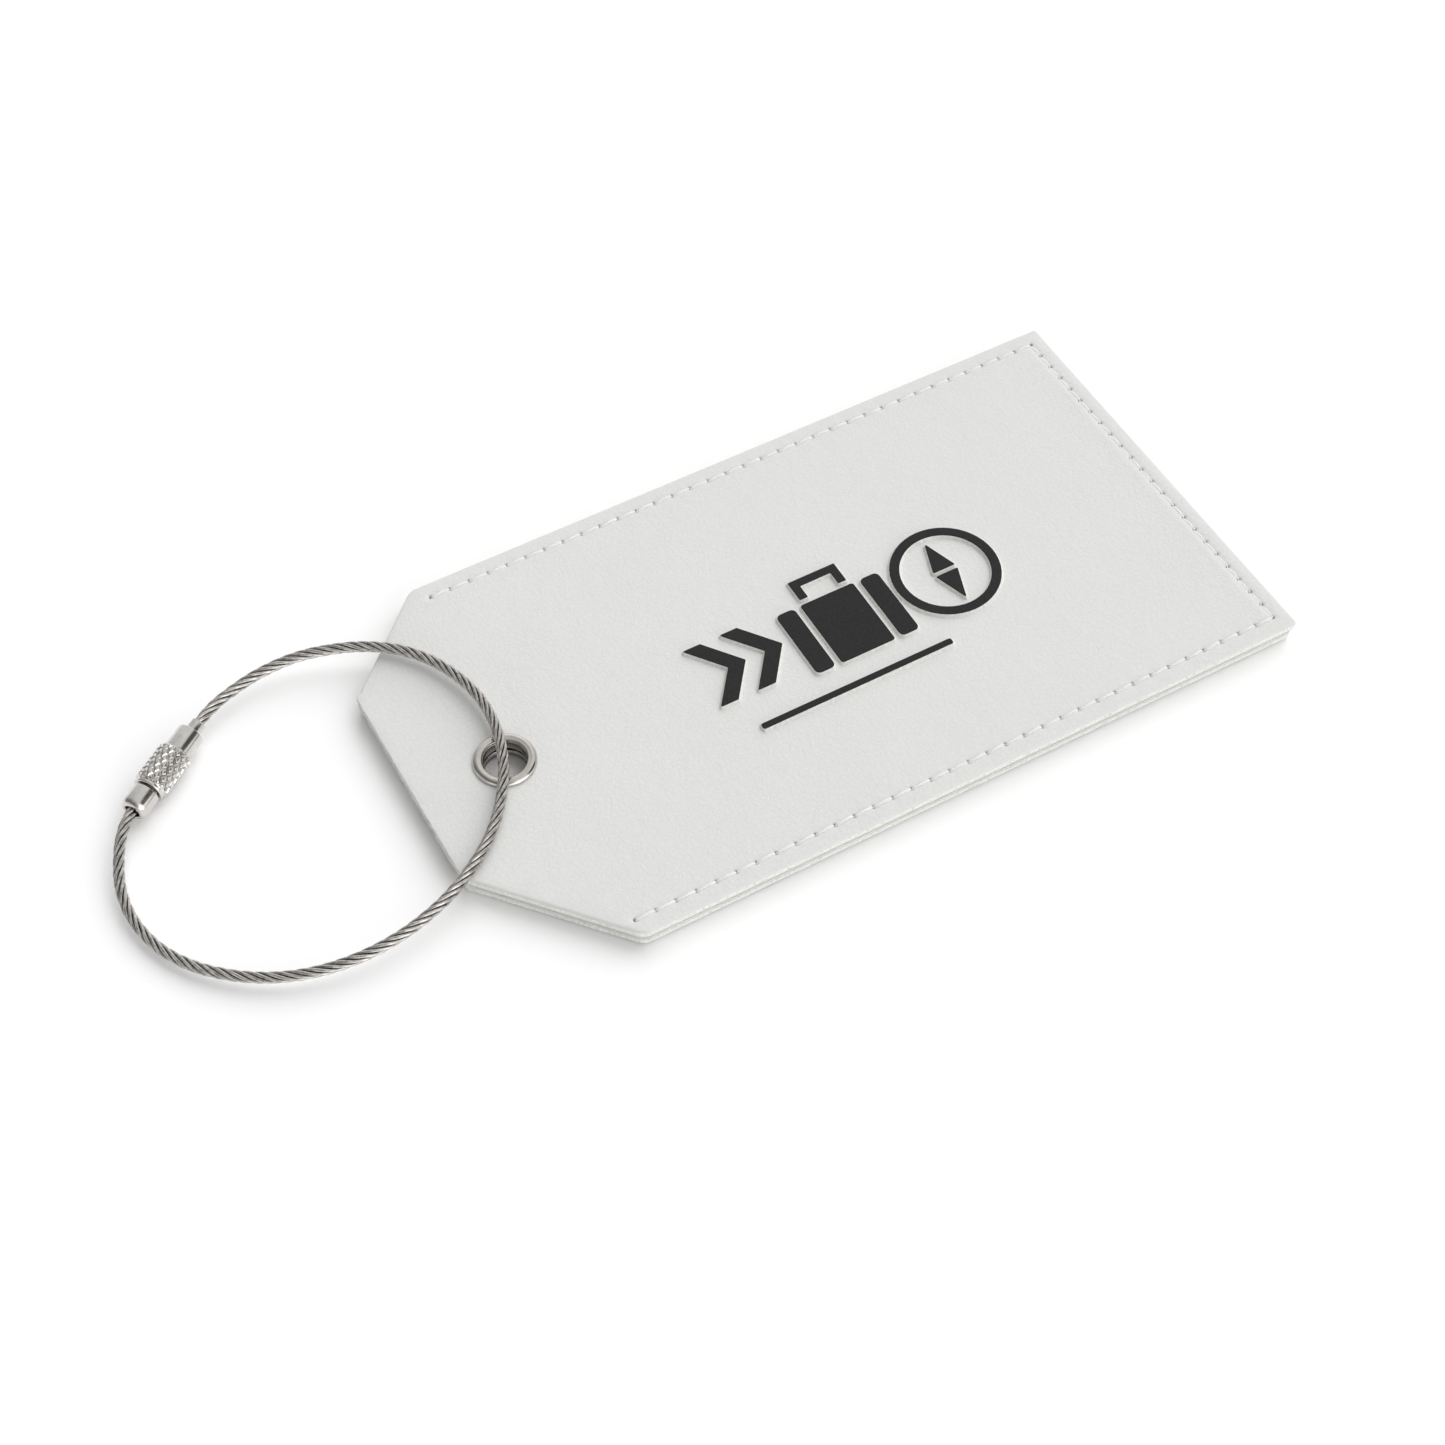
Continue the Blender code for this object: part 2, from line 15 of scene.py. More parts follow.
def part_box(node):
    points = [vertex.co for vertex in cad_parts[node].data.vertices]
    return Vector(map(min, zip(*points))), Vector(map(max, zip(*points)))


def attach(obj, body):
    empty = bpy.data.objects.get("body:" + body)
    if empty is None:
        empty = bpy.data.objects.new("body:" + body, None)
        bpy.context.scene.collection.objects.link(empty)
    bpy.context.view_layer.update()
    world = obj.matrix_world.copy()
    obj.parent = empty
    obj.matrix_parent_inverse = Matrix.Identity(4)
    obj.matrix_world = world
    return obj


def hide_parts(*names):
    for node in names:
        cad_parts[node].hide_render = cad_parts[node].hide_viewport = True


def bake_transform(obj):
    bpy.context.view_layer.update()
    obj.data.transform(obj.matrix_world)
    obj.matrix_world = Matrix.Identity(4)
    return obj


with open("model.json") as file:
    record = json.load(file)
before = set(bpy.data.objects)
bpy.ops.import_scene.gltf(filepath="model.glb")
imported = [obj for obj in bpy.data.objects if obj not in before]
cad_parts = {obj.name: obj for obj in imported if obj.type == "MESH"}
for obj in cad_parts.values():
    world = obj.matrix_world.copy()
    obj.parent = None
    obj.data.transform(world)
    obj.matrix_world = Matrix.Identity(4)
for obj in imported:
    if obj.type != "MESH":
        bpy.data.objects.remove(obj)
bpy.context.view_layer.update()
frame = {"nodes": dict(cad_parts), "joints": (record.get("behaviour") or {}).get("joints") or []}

MM = 0.001
TURN = 2 * pi
RANDOM = random.Random(11)


def box_mm(node):
    low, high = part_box(node)
    return low / MM, high / MM


# ---- camera

CAMERA_PLACE = Vector((-109.71, -172.09, 259.42))
CAMERA_HEADING = radians(60.665)  # from +X towards +Y
CAMERA_TILT = radians(53.78)  # below the horizon
CAMERA_LENS = 61.07


def add(name, data):
    """A new object in the scene."""
    made = bpy.data.objects.new(name, data)
    bpy.context.scene.collection.objects.link(made)
    return made


def make_camera():
    data = bpy.data.cameras.new("camera")
    data.lens = CAMERA_LENS
    data.sensor_width = 36.0
    data.clip_start = 0.01
    data.clip_end = 100.0
    camera = add("camera", data)
    camera.location = CAMERA_PLACE * MM
    camera.rotation_euler = (pi / 2 - CAMERA_TILT, 0, CAMERA_HEADING - pi / 2)
    bpy.context.scene.camera = camera


# ---- materials

MIX_INPUTS = (6, 7)  # the sockets for colours among a mixing node's
MIX_OUTPUT = 2


class Nodes:
    """A node tree, with short calls for the nodes in it."""

    def __init__(self, tree, shader, place):
        self.tree = tree
        self.shader = tree.nodes[shader]
        self.place = self.node("TexCoord").outputs[place]

    def set(self, socket, value):
        self.shader.inputs[socket].default_value = value

    def feed(self, socket, value):
        self.tree.links.new(value, self.shader.inputs[socket])

    def node(self, kind, inputs=None, **settings):
        """A new node, with its inputs set or linked by name or number."""
        made = self.tree.nodes.new("ShaderNode" + kind)
        for key, value in settings.items():
            setattr(made, key, value)
        for socket, value in (inputs or {}).items():
            if isinstance(value, bpy.types.NodeSocket):
                self.tree.links.new(value, made.inputs[socket])
            else:
                made.inputs[socket].default_value = value
        return made

    def vector(self, operation, first, second=(0, 0, 0), output="Vector"):
        inputs = {0: first, 1: second}
        return self.node("VectorMath", inputs, operation=operation).outputs[output]

    def along(self, axis):
        """How far the place reaches along an axis."""
        return self.vector("DOT_PRODUCT", self.place, axis, "Value")

    def scaled(self, value, low, high, out_low=0.0, out_high=1.0, easing="LINEAR"):
        """The value's range from low to high, turned into another range and held to it."""
        inputs = {"Value": value, "From Min": low, "From Max": high,
                  "To Min": out_low, "To Max": out_high}
        return self.node("MapRange", inputs, interpolation_type=easing).outputs["Result"]

    def math(self, operation, a, b=0.0, c=0.0):
        return self.node("Math", {0: a, 1: b, 2: c}, operation=operation).outputs[0]


class Surface(Nodes):
    """A Principled material and the textures that feed it."""

    def __init__(self, name, colour, roughness, metallic=0.0, **constants):
        self.material = bpy.data.materials.new(name)
        self.material.use_nodes = True
        super().__init__(self.material.node_tree, "Principled BSDF", "Object")
        self.relief = {}
        self.set("Base Color", (*colour, 1.0))
        self.set("Roughness", roughness)
        self.set("Metallic", metallic)
        for socket, value in constants.items():
            self.set(socket.replace("_", " "), value)

    def stretch(self, scale):
        """The place in metres, multiplied by a scale for each axis."""
        return self.vector("MULTIPLY", self.place, scale)

    def noise(self, size, detail=2.0, vector=None, distortion=0.0, output="Fac"):
        """Cloudy noise, from 0 to 1, with features about size millimetres across."""
        inputs = {"Vector": vector or self.place, "Scale": 1 / (size * MM),
                  "Detail": detail, "Distortion": distortion}
        return self.node("TexNoise", inputs).outputs[output]

    def lines(self, coordinate, size, detail=2.0):
        """One-dimensional noise along a coordinate in metres."""
        inputs = {"W": coordinate, "Scale": 1 / (size * MM), "Detail": detail}
        return self.node("TexNoise", inputs, noise_dimensions="1D").outputs["Fac"]

    def cells(self, size, feature, vector):
        """Distances in a pattern of cells about size millimetres across."""
        inputs = {"Vector": vector, "Scale": 1 / (size * MM)}
        return self.node("TexVoronoi", inputs, feature=feature).outputs["Distance"]

    def radius(self, centre):
        """Distance in metres from an upright line through centre."""
        away = self.vector("SUBTRACT", self.place, centre)
        flat = self.vector("MULTIPLY", away, (1, 1, 0))
        return self.vector("LENGTH", flat, output="Value")

    def painted(self, attribute):
        """A number stored on the mesh's points."""
        return self.node("Attribute", attribute_name=attribute).outputs["Fac"]

    def mix(self, share, first, second):
        """Two colours, mixed by a share from 0 to 1."""
        pair = [c if isinstance(c, bpy.types.NodeSocket) else (*c, 1.0) for c in (first, second)]
        inputs = {"Factor": share, MIX_INPUTS[0]: pair[0], MIX_INPUTS[1]: pair[1]}
        return self.node("Mix", inputs, data_type="RGBA").outputs[MIX_OUTPUT]

    def tint(self, value, low, high, first, second):
        """The base colour, from first to second as the value goes from low to high."""
        self.feed("Base Color", self.mix(self.scaled(value, low, high), first, second))

    def bump(self, height, depth):
        """Relief of a depth in millimetres, over the relief that is there already."""
        inputs = {"Height": height, "Distance": depth * MM, "Strength": 1.0, **self.relief}
        self.relief = {"Normal": self.node("Bump", inputs).outputs["Normal"]}
        self.feed("Normal", self.relief["Normal"])


def leather_material():
    """Light grey coated leather: pebbled grain, faint clouding, painted shade in the grain's
    creases and the needle holes, lighter rounded rims.
    """
    s = Surface("leather_grain", (0.6, 0.6, 0.59), 0.5, IOR=1.45)
    warp = 0.5 * MM
    clouds = s.vector("MULTIPLY", s.noise(0.9, output="Color"), (warp, warp, warp))
    warped = s.vector("ADD", s.place, clouds)
    pebbles = s.cells(0.5, "SMOOTH_F1", warped)
    creases = s.cells(0.75, "DISTANCE_TO_EDGE", warped)
    valley = s.scaled(creases, 0.0, 0.12)
    tone = s.mix(s.noise(14.0, 3.0), (0.675, 0.675, 0.662), (0.705, 0.705, 0.692))
    tone = s.mix(s.scaled(s.noise(0.35), 0.35, 0.7, 0.0, 0.10), tone, (0.54, 0.54, 0.52))
    # Painted shade: the grain's creases are darkened.
    tone = s.mix(s.scaled(valley, 0.0, 1.0, 0.10, 0.0), tone, (0.46, 0.46, 0.44))
    # The rounded rims, marked by rim, are painted a little lighter.
    tone = s.mix(s.scaled(s.painted("rim"), 0.0, 1.0, 0.0, 0.35), tone, (0.72, 0.72, 0.69))
    # Painted shade: the needle holes, marked by pit, are darkened.
    tone = s.mix(s.painted("pit"), tone, (0.10, 0.095, 0.08))
    s.feed("Base Color", tone)
    s.feed("Roughness", s.scaled(s.noise(0.5, 3.0), 0.3, 0.7, 0.46, 0.62))
    s.bump(s.noise(3.0), 0.06)
    s.bump(pebbles, 0.023)
    s.bump(valley, 0.012)
    return s.material


def cut_edge_material():
    """The sawn side of a panel: pale compressed fibres in faint layers."""
    s = Surface("cut_edge", (0.6, 0.6, 0.56), 0.85)
    layers = s.noise(0.5, 4.0, s.stretch((0.25, 0.25, 2.2)))
    fibres = s.noise(0.16, 4.0, s.stretch((0.6, 0.6, 1.4)))
    tone = s.mix(s.scaled(layers, 0.3, 0.7), (0.79, 0.79, 0.76), (0.86, 0.86, 0.83))
    tone = s.mix(s.scaled(fibres, 0.52, 0.72, 0.0, 0.6), tone, (0.95, 0.95, 0.93))
    tone = s.mix(s.scaled(fibres, 0.46, 0.30, 0.0, 0.5), tone, (0.56, 0.55, 0.51))
    clumps = s.noise(0.42, 3.0)
    tone = s.mix(s.scaled(clumps, 0.60, 0.66, 0.0, 0.7), tone, (0.96, 0.96, 0.94))
    tone = s.mix(s.scaled(clumps, 0.42, 0.36, 0.0, 0.45), tone, (0.50, 0.49, 0.45))
    s.feed("Base Color", tone)
    s.bump(layers, 0.06)
    s.bump(fibres, 0.12)
    return s.material


def felt_material(name, dark, light):
    """Bonded fibre sheet, as used for linings and edge tape."""
    s = Surface(name, dark, 0.95, Sheen_Weight=0.25)
    fibres = s.noise(0.22, 5.0, s.stretch((1.0, 0.45, 1.0)), 1.2)
    s.tint(fibres, 0.3, 0.7, dark, light)
    s.bump(fibres, 0.06)
    return s.material


def film_material():
    s = Surface("clear_film", (0.93, 0.95, 0.96), 0.08, Alpha=0.22, IOR=1.5)
    s.bump(s.noise(9.0), 0.12)
    s.feed("Roughness", s.scaled(s.noise(4.0, 4.0), 0.4, 0.8, 0.05, 0.16))
    return s.material


def card_material():
    """White card with plain ruled lines to write on."""
    low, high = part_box("address_card")
    s = Surface("ruled_card", (0.85, 0.84, 0.81), 0.75)
    fibres = s.noise(0.3, 5.0)
    paper = s.mix(s.scaled(fibres, 0.3, 0.7), (0.80, 0.79, 0.76), (0.86, 0.855, 0.83))
    along, across = s.along((1, 0, 0)), s.along((0, 1, 0))
    spacing, margin = 7.0 * MM, 7.0 * MM
    half_line = 0.035  # half a ruled line's thickness, as a share of the spacing

    def within(value, limit):
        return s.math("LESS_THAN", s.math("ABSOLUTE", value), limit)

    phase = s.math("FRACT", s.math("DIVIDE", across, spacing))
    rule = within(s.math("SUBTRACT", phase, 0.5), half_line)
    middle = (low.x + high.x) / 2
    reach = (high.x - low.x) / 2 - margin
    inside_x = within(s.math("SUBTRACT", along, middle), reach)
    inside_y = within(across, high.y - margin)
    ink = s.math("MULTIPLY", rule, s.math("MULTIPLY", inside_x, inside_y))
    s.feed("Base Color", s.mix(s.math("MULTIPLY", ink, 0.8), paper, (0.25, 0.30, 0.36)))
    s.bump(fibres, 0.02)
    return s.material


def speckled_material(name, colour, roughness, size, first, second, depth, **constants):
    """A surface whose tint and relief both follow one fine noise."""
    s = Surface(name, colour, roughness, **constants)
    specks = s.noise(size, 3.0)
    s.tint(specks, 0.3, 0.7, first, second)
    s.bump(specks, depth)
    return s.material


def thread_material():
    return speckled_material("off_white_thread", (0.8, 0.79, 0.76), 0.7, 0.07,
                             (0.74, 0.735, 0.705), (0.90, 0.895, 0.87), 0.03, Sheen_Weight=0.3)


def print_wall_material():
    return speckled_material("pale_print_wall", (0.66, 0.65, 0.62), 0.45, 0.4,
                             (0.60, 0.59, 0.56), (0.76, 0.75, 0.72), 0.02)


def print_top_material():
    s = Surface("black_print", (0.02, 0.02, 0.02), 0.6, Specular_IOR_Level=0.2)
    specks = s.noise(0.12, 3.0)
    s.tint(specks, 0.3, 0.75, (0.012, 0.012, 0.013), (0.030, 0.030, 0.030))
    s.bump(s.noise(0.7), 0.02)
    s.bump(specks, 0.012)
    return s.material


def nickel_material(centre):
    """Polished nickel with faint turning rings, handling marks and painted shade on the bore's
    wall.
    """
    s = Surface("polished_nickel", (0.45, 0.43, 0.40), 0.2, 1.0)
    rings = s.lines(s.radius(centre * MM), 0.10, 3.0)
    smears = s.noise(1.1, 4.0)
    s.feed("Roughness", s.scaled(smears, 0.35, 0.75, 0.07, 0.16))
    tone = s.mix(s.scaled(smears, 0.3, 0.8), (0.66, 0.63, 0.59), (0.56, 0.53, 0.49))
    # Painted shade: the bore's wall, marked by inner, is darkened.
    s.feed("Base Color", s.mix(s.painted("inner"), tone, (0.10, 0.088, 0.075)))
    s.bump(s.noise(0.25), 0.002)
    s.bump(rings, 0.003)
    return s.material


def turned_steel_material(axis):
    """Turned stainless steel: fine rings round the clasp's axis."""
    s = Surface("turned_steel", (0.45, 0.44, 0.42), 0.25, 1.0)
    rings = s.lines(s.along(axis), 0.06, 3.0)
    smears = s.noise(0.9, 4.0)
    s.feed("Roughness", s.scaled(smears, 0.35, 0.75, 0.14, 0.24))
    s.tint(smears, 0.3, 0.8, (0.71, 0.69, 0.66), (0.60, 0.58, 0.55))
    s.bump(rings, 0.004)
    return s.material


def rope_material():
    """Drawn stainless wire, dull and darker down between the strands."""
    s = Surface("drawn_wire", (0.55, 0.53, 0.50), 0.28, 1.0)
    streaks = s.noise(0.5, 3.0)
    wire = s.mix(s.scaled(streaks, 0.3, 0.7), (0.44, 0.42, 0.395), (0.70, 0.675, 0.645))
    s.feed("Base Color", s.mix(s.painted("depth"), wire, (0.05, 0.047, 0.045)))
    s.feed("Roughness", s.scaled(streaks, 0.3, 0.7, 0.24, 0.34))
    s.bump(s.noise(0.09), 0.0015)
    return s.material


# ---- mesh helpers

def piece(name, vertices, faces, materials, body, stands_for=(),
          indices=None, sharp=35.0, points=None):
    """Make an object from millimetre vertices, and let it ride on a CAD body."""
    mesh = bpy.data.meshes.new(name)
    mesh.from_pydata([tuple(c * MM for c in v) for v in vertices], [], faces)
    for material in materials:
        mesh.materials.append(material)
    if indices is not None:
        mesh.polygons.foreach_set("material_index", indices)
    for key, values in (points or {}).items():
        mesh.attributes.new(key, "FLOAT", "POINT").data.foreach_set("value", values)
    mesh.shade_smooth()
    mesh.set_sharp_from_angle(angle=radians(sharp))
    obj = add(name, mesh)
    if body:
        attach(obj, body)
    if stands_for:
        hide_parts(*stands_for)
    return obj


def ring_faces(first, second, count):
    """Quads between two closed rings of count vertices that start at these numbers."""
    return [(first + i, second + i, second + (i + 1) % count, first + (i + 1) % count)
            for i in range(count)]


def turned_mesh(profile, columns, closed=True):
    """A turned shape about Z. The profile's radii may be functions of the angle.

    A closed profile returns to its first point, and an open one gets a cap at each end.
    """
    vertices, faces = [], []
    for radius, height in profile:
        for column in range(columns):
            angle = TURN * column / columns
            here = radius(angle) if callable(radius) else radius
            vertices.append((here * cos(angle), here * sin(angle), height))
    rows = len(profile)
    for row in range(rows if closed else rows - 1):
        faces += ring_faces((row + 1) % rows * columns, row * columns, columns)
    if not closed:
        faces.append(tuple(reversed(range(columns))))
        faces.append(tuple(range((rows - 1) * columns, rows * columns)))
    return vertices, faces


def arc(centre, radii, start, end, steps):
    """Points of an elliptical arc in a profile, with its angles in degrees."""
    angles = [radians(start + (end - start) * step / steps) for step in range(steps + 1)]
    return [(centre[0] + radii[0] * cos(angle), centre[1] + radii[1] * sin(angle))
            for angle in angles]


def path_frames(path):
    """A path's points, each with two directions across the path that don't twist round it."""
    frames, normal = [], None
    for index, point in enumerate(path):
        ahead, behind = path[min(index + 1, len(path) - 1)], path[max(index - 1, 0)]
        tangent = (ahead - behind).normalized()
        normal = normal or tangent.orthogonal()
        normal = (normal - tangent * normal.dot(tangent)).normalized()
        frames.append((point, normal, tangent.cross(normal)))
    return frames


def swept_faces(start, rows, sides):
    """The skin and the two end caps of a tube whose vertices start at this number."""
    faces = []
    for first in range(start, start + (rows - 1) * sides, sides):
        faces += ring_faces(first + sides, first, sides)
    last = start + (rows - 1) * sides
    return faces + [tuple(reversed(range(start, start + sides))), tuple(range(last, last + sides))]


def tubes(paths, radius, sides):
    """Closed round tubes along lists of points, joined into one mesh."""
    angles = [TURN * corner / sides for corner in range(sides)]
    vertices, faces = [], []
    for path in paths:
        faces += swept_faces(len(vertices), len(path), sides)
        for point, normal, side in path_frames(path):
            vertices += [point + (normal * cos(angle) + side * sin(angle)) * radius
                         for angle in angles]
    return vertices, faces


def distances(points):
    """How far along a line of points each of them is."""
    return np.concatenate([[0.0], np.cumsum([(b - a).length for a, b in zip(points, points[1:])])])


def points_at(wanted, points):
    """Points at these distances along a line of points."""
    reach = distances(points)
    return [Vector(p) for p in zip(*(np.interp(wanted, reach, axis) for axis in zip(*points)))]


# ---- outlines

def flat_loops(node, level):
    """The boundary loops, in millimetres, of a CAD node's flat face at a height.

    Every loop has the material on its left, and the outer one comes first.
    """
    mesh = frame["nodes"][node].data
    corners = [tuple(round(c / MM, 4) for c in v.co) for v in mesh.vertices]
    flatness = 0.002
    following = {}
    for polygon in mesh.polygons:
        ring = [corners[i] for i in polygon.vertices]
        if any(abs(c[2] - level) > flatness for c in ring):
            continue
        if signed_area(ring) < 0:
            ring.reverse()
        for a, b in zip(ring, ring[1:] + ring[:1]):
            if (b, a) in following:
                del following[(b, a)]
            else:
                following[(a, b)] = True
    after = {a: b for a, b in following}
    loops = []
    while after:
        start = next(iter(after))
        loop, here = [], start
        while here in after:
            loop.append(Vector(here[:2]))
            here = after.pop(here)
        loops.append(loop)
    return sorted(loops, key=signed_area, reverse=True)


def signed_area(loop):
    return sum(a[0] * b[1] - b[0] * a[1] for a, b in zip(loop, loop[1:] + loop[:1])) / 2


def rounded(loop, radius, steps=4, least_turn=25.0):
    """The loop with an arc in the place of each corner that turns more than least_turn."""
    made = []
    for index, corner in enumerate(loop):
        before = loop[index - 1] - corner
        after = loop[(index + 1) % len(loop)] - corner
        turn = pi - before.angle(after)
        if math.degrees(turn) < least_turn:
            made.append(corner)
            continue
        room = 0.4 * min(before.length, after.length)
        cut = min(radius * math.tan(turn / 2), room)
        start, end = corner + before.normalized() * cut, corner + after.normalized() * cut
        for step in range(steps + 1):
            t = step / steps
            made.append(start * (1 - t) ** 2 + corner * 2 * t * (1 - t) + end * t ** 2)
    return made


def resampled(loop, spacing):
    """Evenly spaced points along a closed loop."""
    closed = loop + loop[:1]
    length, least_count = distances(closed)[-1], 8
    count = max(least_count, round(length / spacing))
    return points_at(np.arange(count) * length / count, closed)


def inset(loop, distance):
    """The loop moved into the material, which is on its left, or out of it if negative."""
    most_stretch = 2  # at a sharp corner
    moved = []
    for index, point in enumerate(loop):
        behind = (point - loop[index - 1]).normalized()
        ahead = (loop[(index + 1) % len(loop)] - point).normalized()
        normal = Vector((-behind.y - ahead.y, behind.x + ahead.x)).normalized()
        stretch = 1 / max(1 / most_stretch, normal.dot(Vector((-ahead.y, ahead.x))))
        moved.append(point + normal * distance * stretch)
    return moved


def inside(points, loops):
    """Which points are inside an odd number of loops."""
    hits = np.zeros(len(points), int)
    x, y = points[:, 0], points[:, 1]
    for loop in loops:
        for a, b in zip(loop, loop[1:] + loop[:1]):
            if a.y == b.y:
                continue
            crosses = (a.y > y) != (b.y > y)
            hits += crosses & (x < a.x + (y - a.y) * (b.x - a.x) / (b.y - a.y))
    return hits % 2 == 1


def fill(loops, extra):
    """Triangles, with their corners counter-clockwise, over the loops' and the extra points."""
    tiny = 1e-5
    points = [p for loop in loops for p in loop] + extra
    edges, start = [], 0
    for loop in loops:
        edges += [(start + i, start + (i + 1) % len(loop)) for i in range(len(loop))]
        start += len(loop)
    made = delaunay_2d_cdt(points, edges, [], 0, tiny)
    source = [ids[0] for ids in made[3]]
    centres = np.array([sum((made[0][i] for i in face), Vector((0, 0))) / 3 for face in made[2]])
    kept = [f for f, ok in zip(made[2], inside(centres, loops)) if ok]
    triangles = []
    for a, b, c in ([source[i] for i in face] for face in kept):
        turn = (points[b] - points[a]).cross(points[c] - points[a])
        if abs(turn) > tiny:
            triangles.append((a, b, c) if turn > 0 else (a, c, b))
    return triangles


# ---- leather panels and sheets

FRONT_LOW, FRONT_HIGH = box_mm("front_leather")
REAR_LOW, REAR_HIGH = box_mm("rear_leather")
EYELET_LOW, EYELET_HIGH = box_mm("front_eyelet")
EYELET_CENTRE = Vector(((EYELET_LOW.x + EYELET_HIGH.x) / 2, 0.0))
EYELET_RADIUS = (EYELET_HIGH.y - EYELET_LOW.y) / 2
THREAD_LOW, THREAD_HIGH = box_mm("seam_thread_front")
THREAD_RADIUS = 0.17
SEAM_X = THREAD_HIGH.x - THREAD_RADIUS
SEAM_Y = THREAD_HIGH.y - THREAD_RADIUS
LONG_PITCH = 2.83
SHORT_PITCH = 2.59
EDGE_SPACING = 0.32
SEAM_STEPS = (0.08, 0.18, 0.3, 0.5, 0.8, 1.2)  # mesh points this far from a hole, along
SEAM_OFFSETS = (0.1, 0.22, 0.38, 0.6, 0.9, 1.3)  # the seam and across it
ROUGH_END_X = FRONT_LOW.x + 0.7  # the pocket's mouth is a rough saw cut up to here
MOUTH_SOFTNESS = 0.35  # its rims are this much as round as the others
HOLE_DEPTH, HOLE_WIDTH = 0.42, 0.21
HOLE_SHADE_STRENGTH, HOLE_SHADE_SPREAD = 1.5, 0.20  # painted shade in a needle hole: its strength, and how far it spreads
CHANNEL_WIDTH = 0.50
FRONT_CHANNEL_DEPTH = 0.05
REAR_CHANNEL_DEPTH = 0.19  # the rear thread lies in it, clear of the floor
REAR_THREAD_PLANE = 0.20
PILLOW_HEIGHT, PILLOW_PLACE, PILLOW_WIDTH = 0.045, 0.85, 0.45  # beside the seam
PILLOW_GAP = 1.1  # it sinks this near to a hole
PRESS_DEPTH, PRESS_WIDTH = 0.05, 0.9  # where an eyelet's rim bears on the leather
PANEL_SOFTNESS = 0.26
FACE_ROWS = 3  # rows of a rim that have the face's look
RIM_ROWS = 4  # rows that are the round rim
EDGE_FOOT = 0.06  # a small round at a sheet's back
POINT_MARGIN = 0.15


def seam_runs():
    """The seam's three straight runs, as lists of needle holes."""
    corners = [Vector((THREAD_LOW.x, SEAM_Y)), Vector((SEAM_X, SEAM_Y)),
               Vector((SEAM_X, -SEAM_Y)), Vector((THREAD_LOW.x, -SEAM_Y))]
    runs = []
    for start, end, pitch in zip(corners, corners[1:], (LONG_PITCH, SHORT_PITCH, LONG_PITCH)):
        count = round((end - start).length / pitch)
        runs.append([start.lerp(end, step / count) for step in range(count + 1)])
    return runs


SEAM_RUNS = seam_runs()
HOLES = np.array([hole for run in SEAM_RUNS for hole in run])


def both_sides(values):
    return [-value for value in reversed(values)] + [0.0, *values]


def seam_points():
    """Extra points for the leather's face, close together round each needle hole."""
    found = []
    for run in SEAM_RUNS:
        along = (run[-1] - run[0]).normalized()
        across = Vector((-along.y, along.x))
        for hole in run:
            for step in both_sides(SEAM_STEPS):
                found += [hole + along * step + across * offset
                          for offset in both_sides(SEAM_OFFSETS)]
    return found


def eyelet_points(rings=(4.4, 4.8, 5.3, 6.0, 7.0), columns=32):
    ways = [TURN * column / columns for column in range(columns)]
    return [EYELET_CENTRE + Vector((cos(a), sin(a))) * r for r in rings for a in ways]


def grid_points(low, high, spacing):
    found = []
    for i in range(int((high.x - low.x) / spacing)):
        for j in range(int((high.y - low.y) / spacing)):
            shift = Vector((RANDOM.uniform(0.2, 0.8), RANDOM.uniform(0.2, 0.8)))
            found.append(low.to_2d() + (Vector((i, j)) + shift) * spacing)
    return found


def spread(points, loops, margin):
    """The points in the material, at least a margin from each loop, without near twins."""
    twins = 0.05
    array = np.array([tuple(p) for p in points])
    safe = inside(array, [inset(loop, margin) for loop in loops])
    kept, taken = [], set()
    for point, ok in zip(points, safe):
        cell = (round(point.x / twins), round(point.y / twins))
        if ok and cell not in taken:
            taken.add(cell)
            kept.append(point)
    return kept


def seam_distance(points):
    best = np.full(len(points), 1e9)
    for run in SEAM_RUNS:
        start, end = np.array(run[0]), np.array(run[-1])
        along = end - start
        share = np.clip((points - start) @ along / (along @ along), 0, 1)
        best = np.minimum(best, np.linalg.norm(points - start - share[:, None] * along, axis=1))
    return best


def hole_distance(points):
    return np.min(np.linalg.norm(points[:, None, :] - HOLES[None, :, :], axis=2), axis=1)


def hill(distance, width):
    """A smooth hill, 1 high at no distance and almost flat at twice its width."""
    return np.exp(-(distance / width) ** 2)


def face_relief(points, channel_depth=FRONT_CHANNEL_DEPTH):
    """How far the sewn leather's face stands above its plane: seam channel, holes and puckers."""
    line, hole = seam_distance(points), hole_distance(points)
    channel = -channel_depth * hill(line, CHANNEL_WIDTH)
    pit = -HOLE_DEPTH * hill(hole, HOLE_WIDTH)
    pillow = PILLOW_HEIGHT * hill(line - PILLOW_PLACE, PILLOW_WIDTH) * (1 - hill(hole, PILLOW_GAP))
    eyelet = np.linalg.norm(points - np.array(EYELET_CENTRE), axis=1)
    press = -PRESS_DEPTH * hill(eyelet - EYELET_RADIUS, PRESS_WIDTH)
    return channel + pit + pillow + press


def waviness(x, y):
    """A slow rise and fall of the leather as a whole."""
    height, length, seed = 0.035, 17, 3.7
    return height * noise.noise(Vector((x / length, y / length, seed)))


def edge_profile(thickness, soft):
    """The side of a sheet from its face down to its back, as (inset, height)."""
    down = [(soft * 1.5, thickness), (soft * 0.75, thickness - soft * 0.12),
            (soft * 0.25, thickness - soft * 0.45), (0.0, thickness - soft)]
    steps = 5
    for step in range(1, steps):
        down.append((0.0, thickness - soft - (thickness - soft - EDGE_FOOT) * step / steps))
    return down + [(0.0, EDGE_FOOT), (EDGE_FOOT / 3, EDGE_FOOT / 4), (EDGE_FOOT, 0.0)]


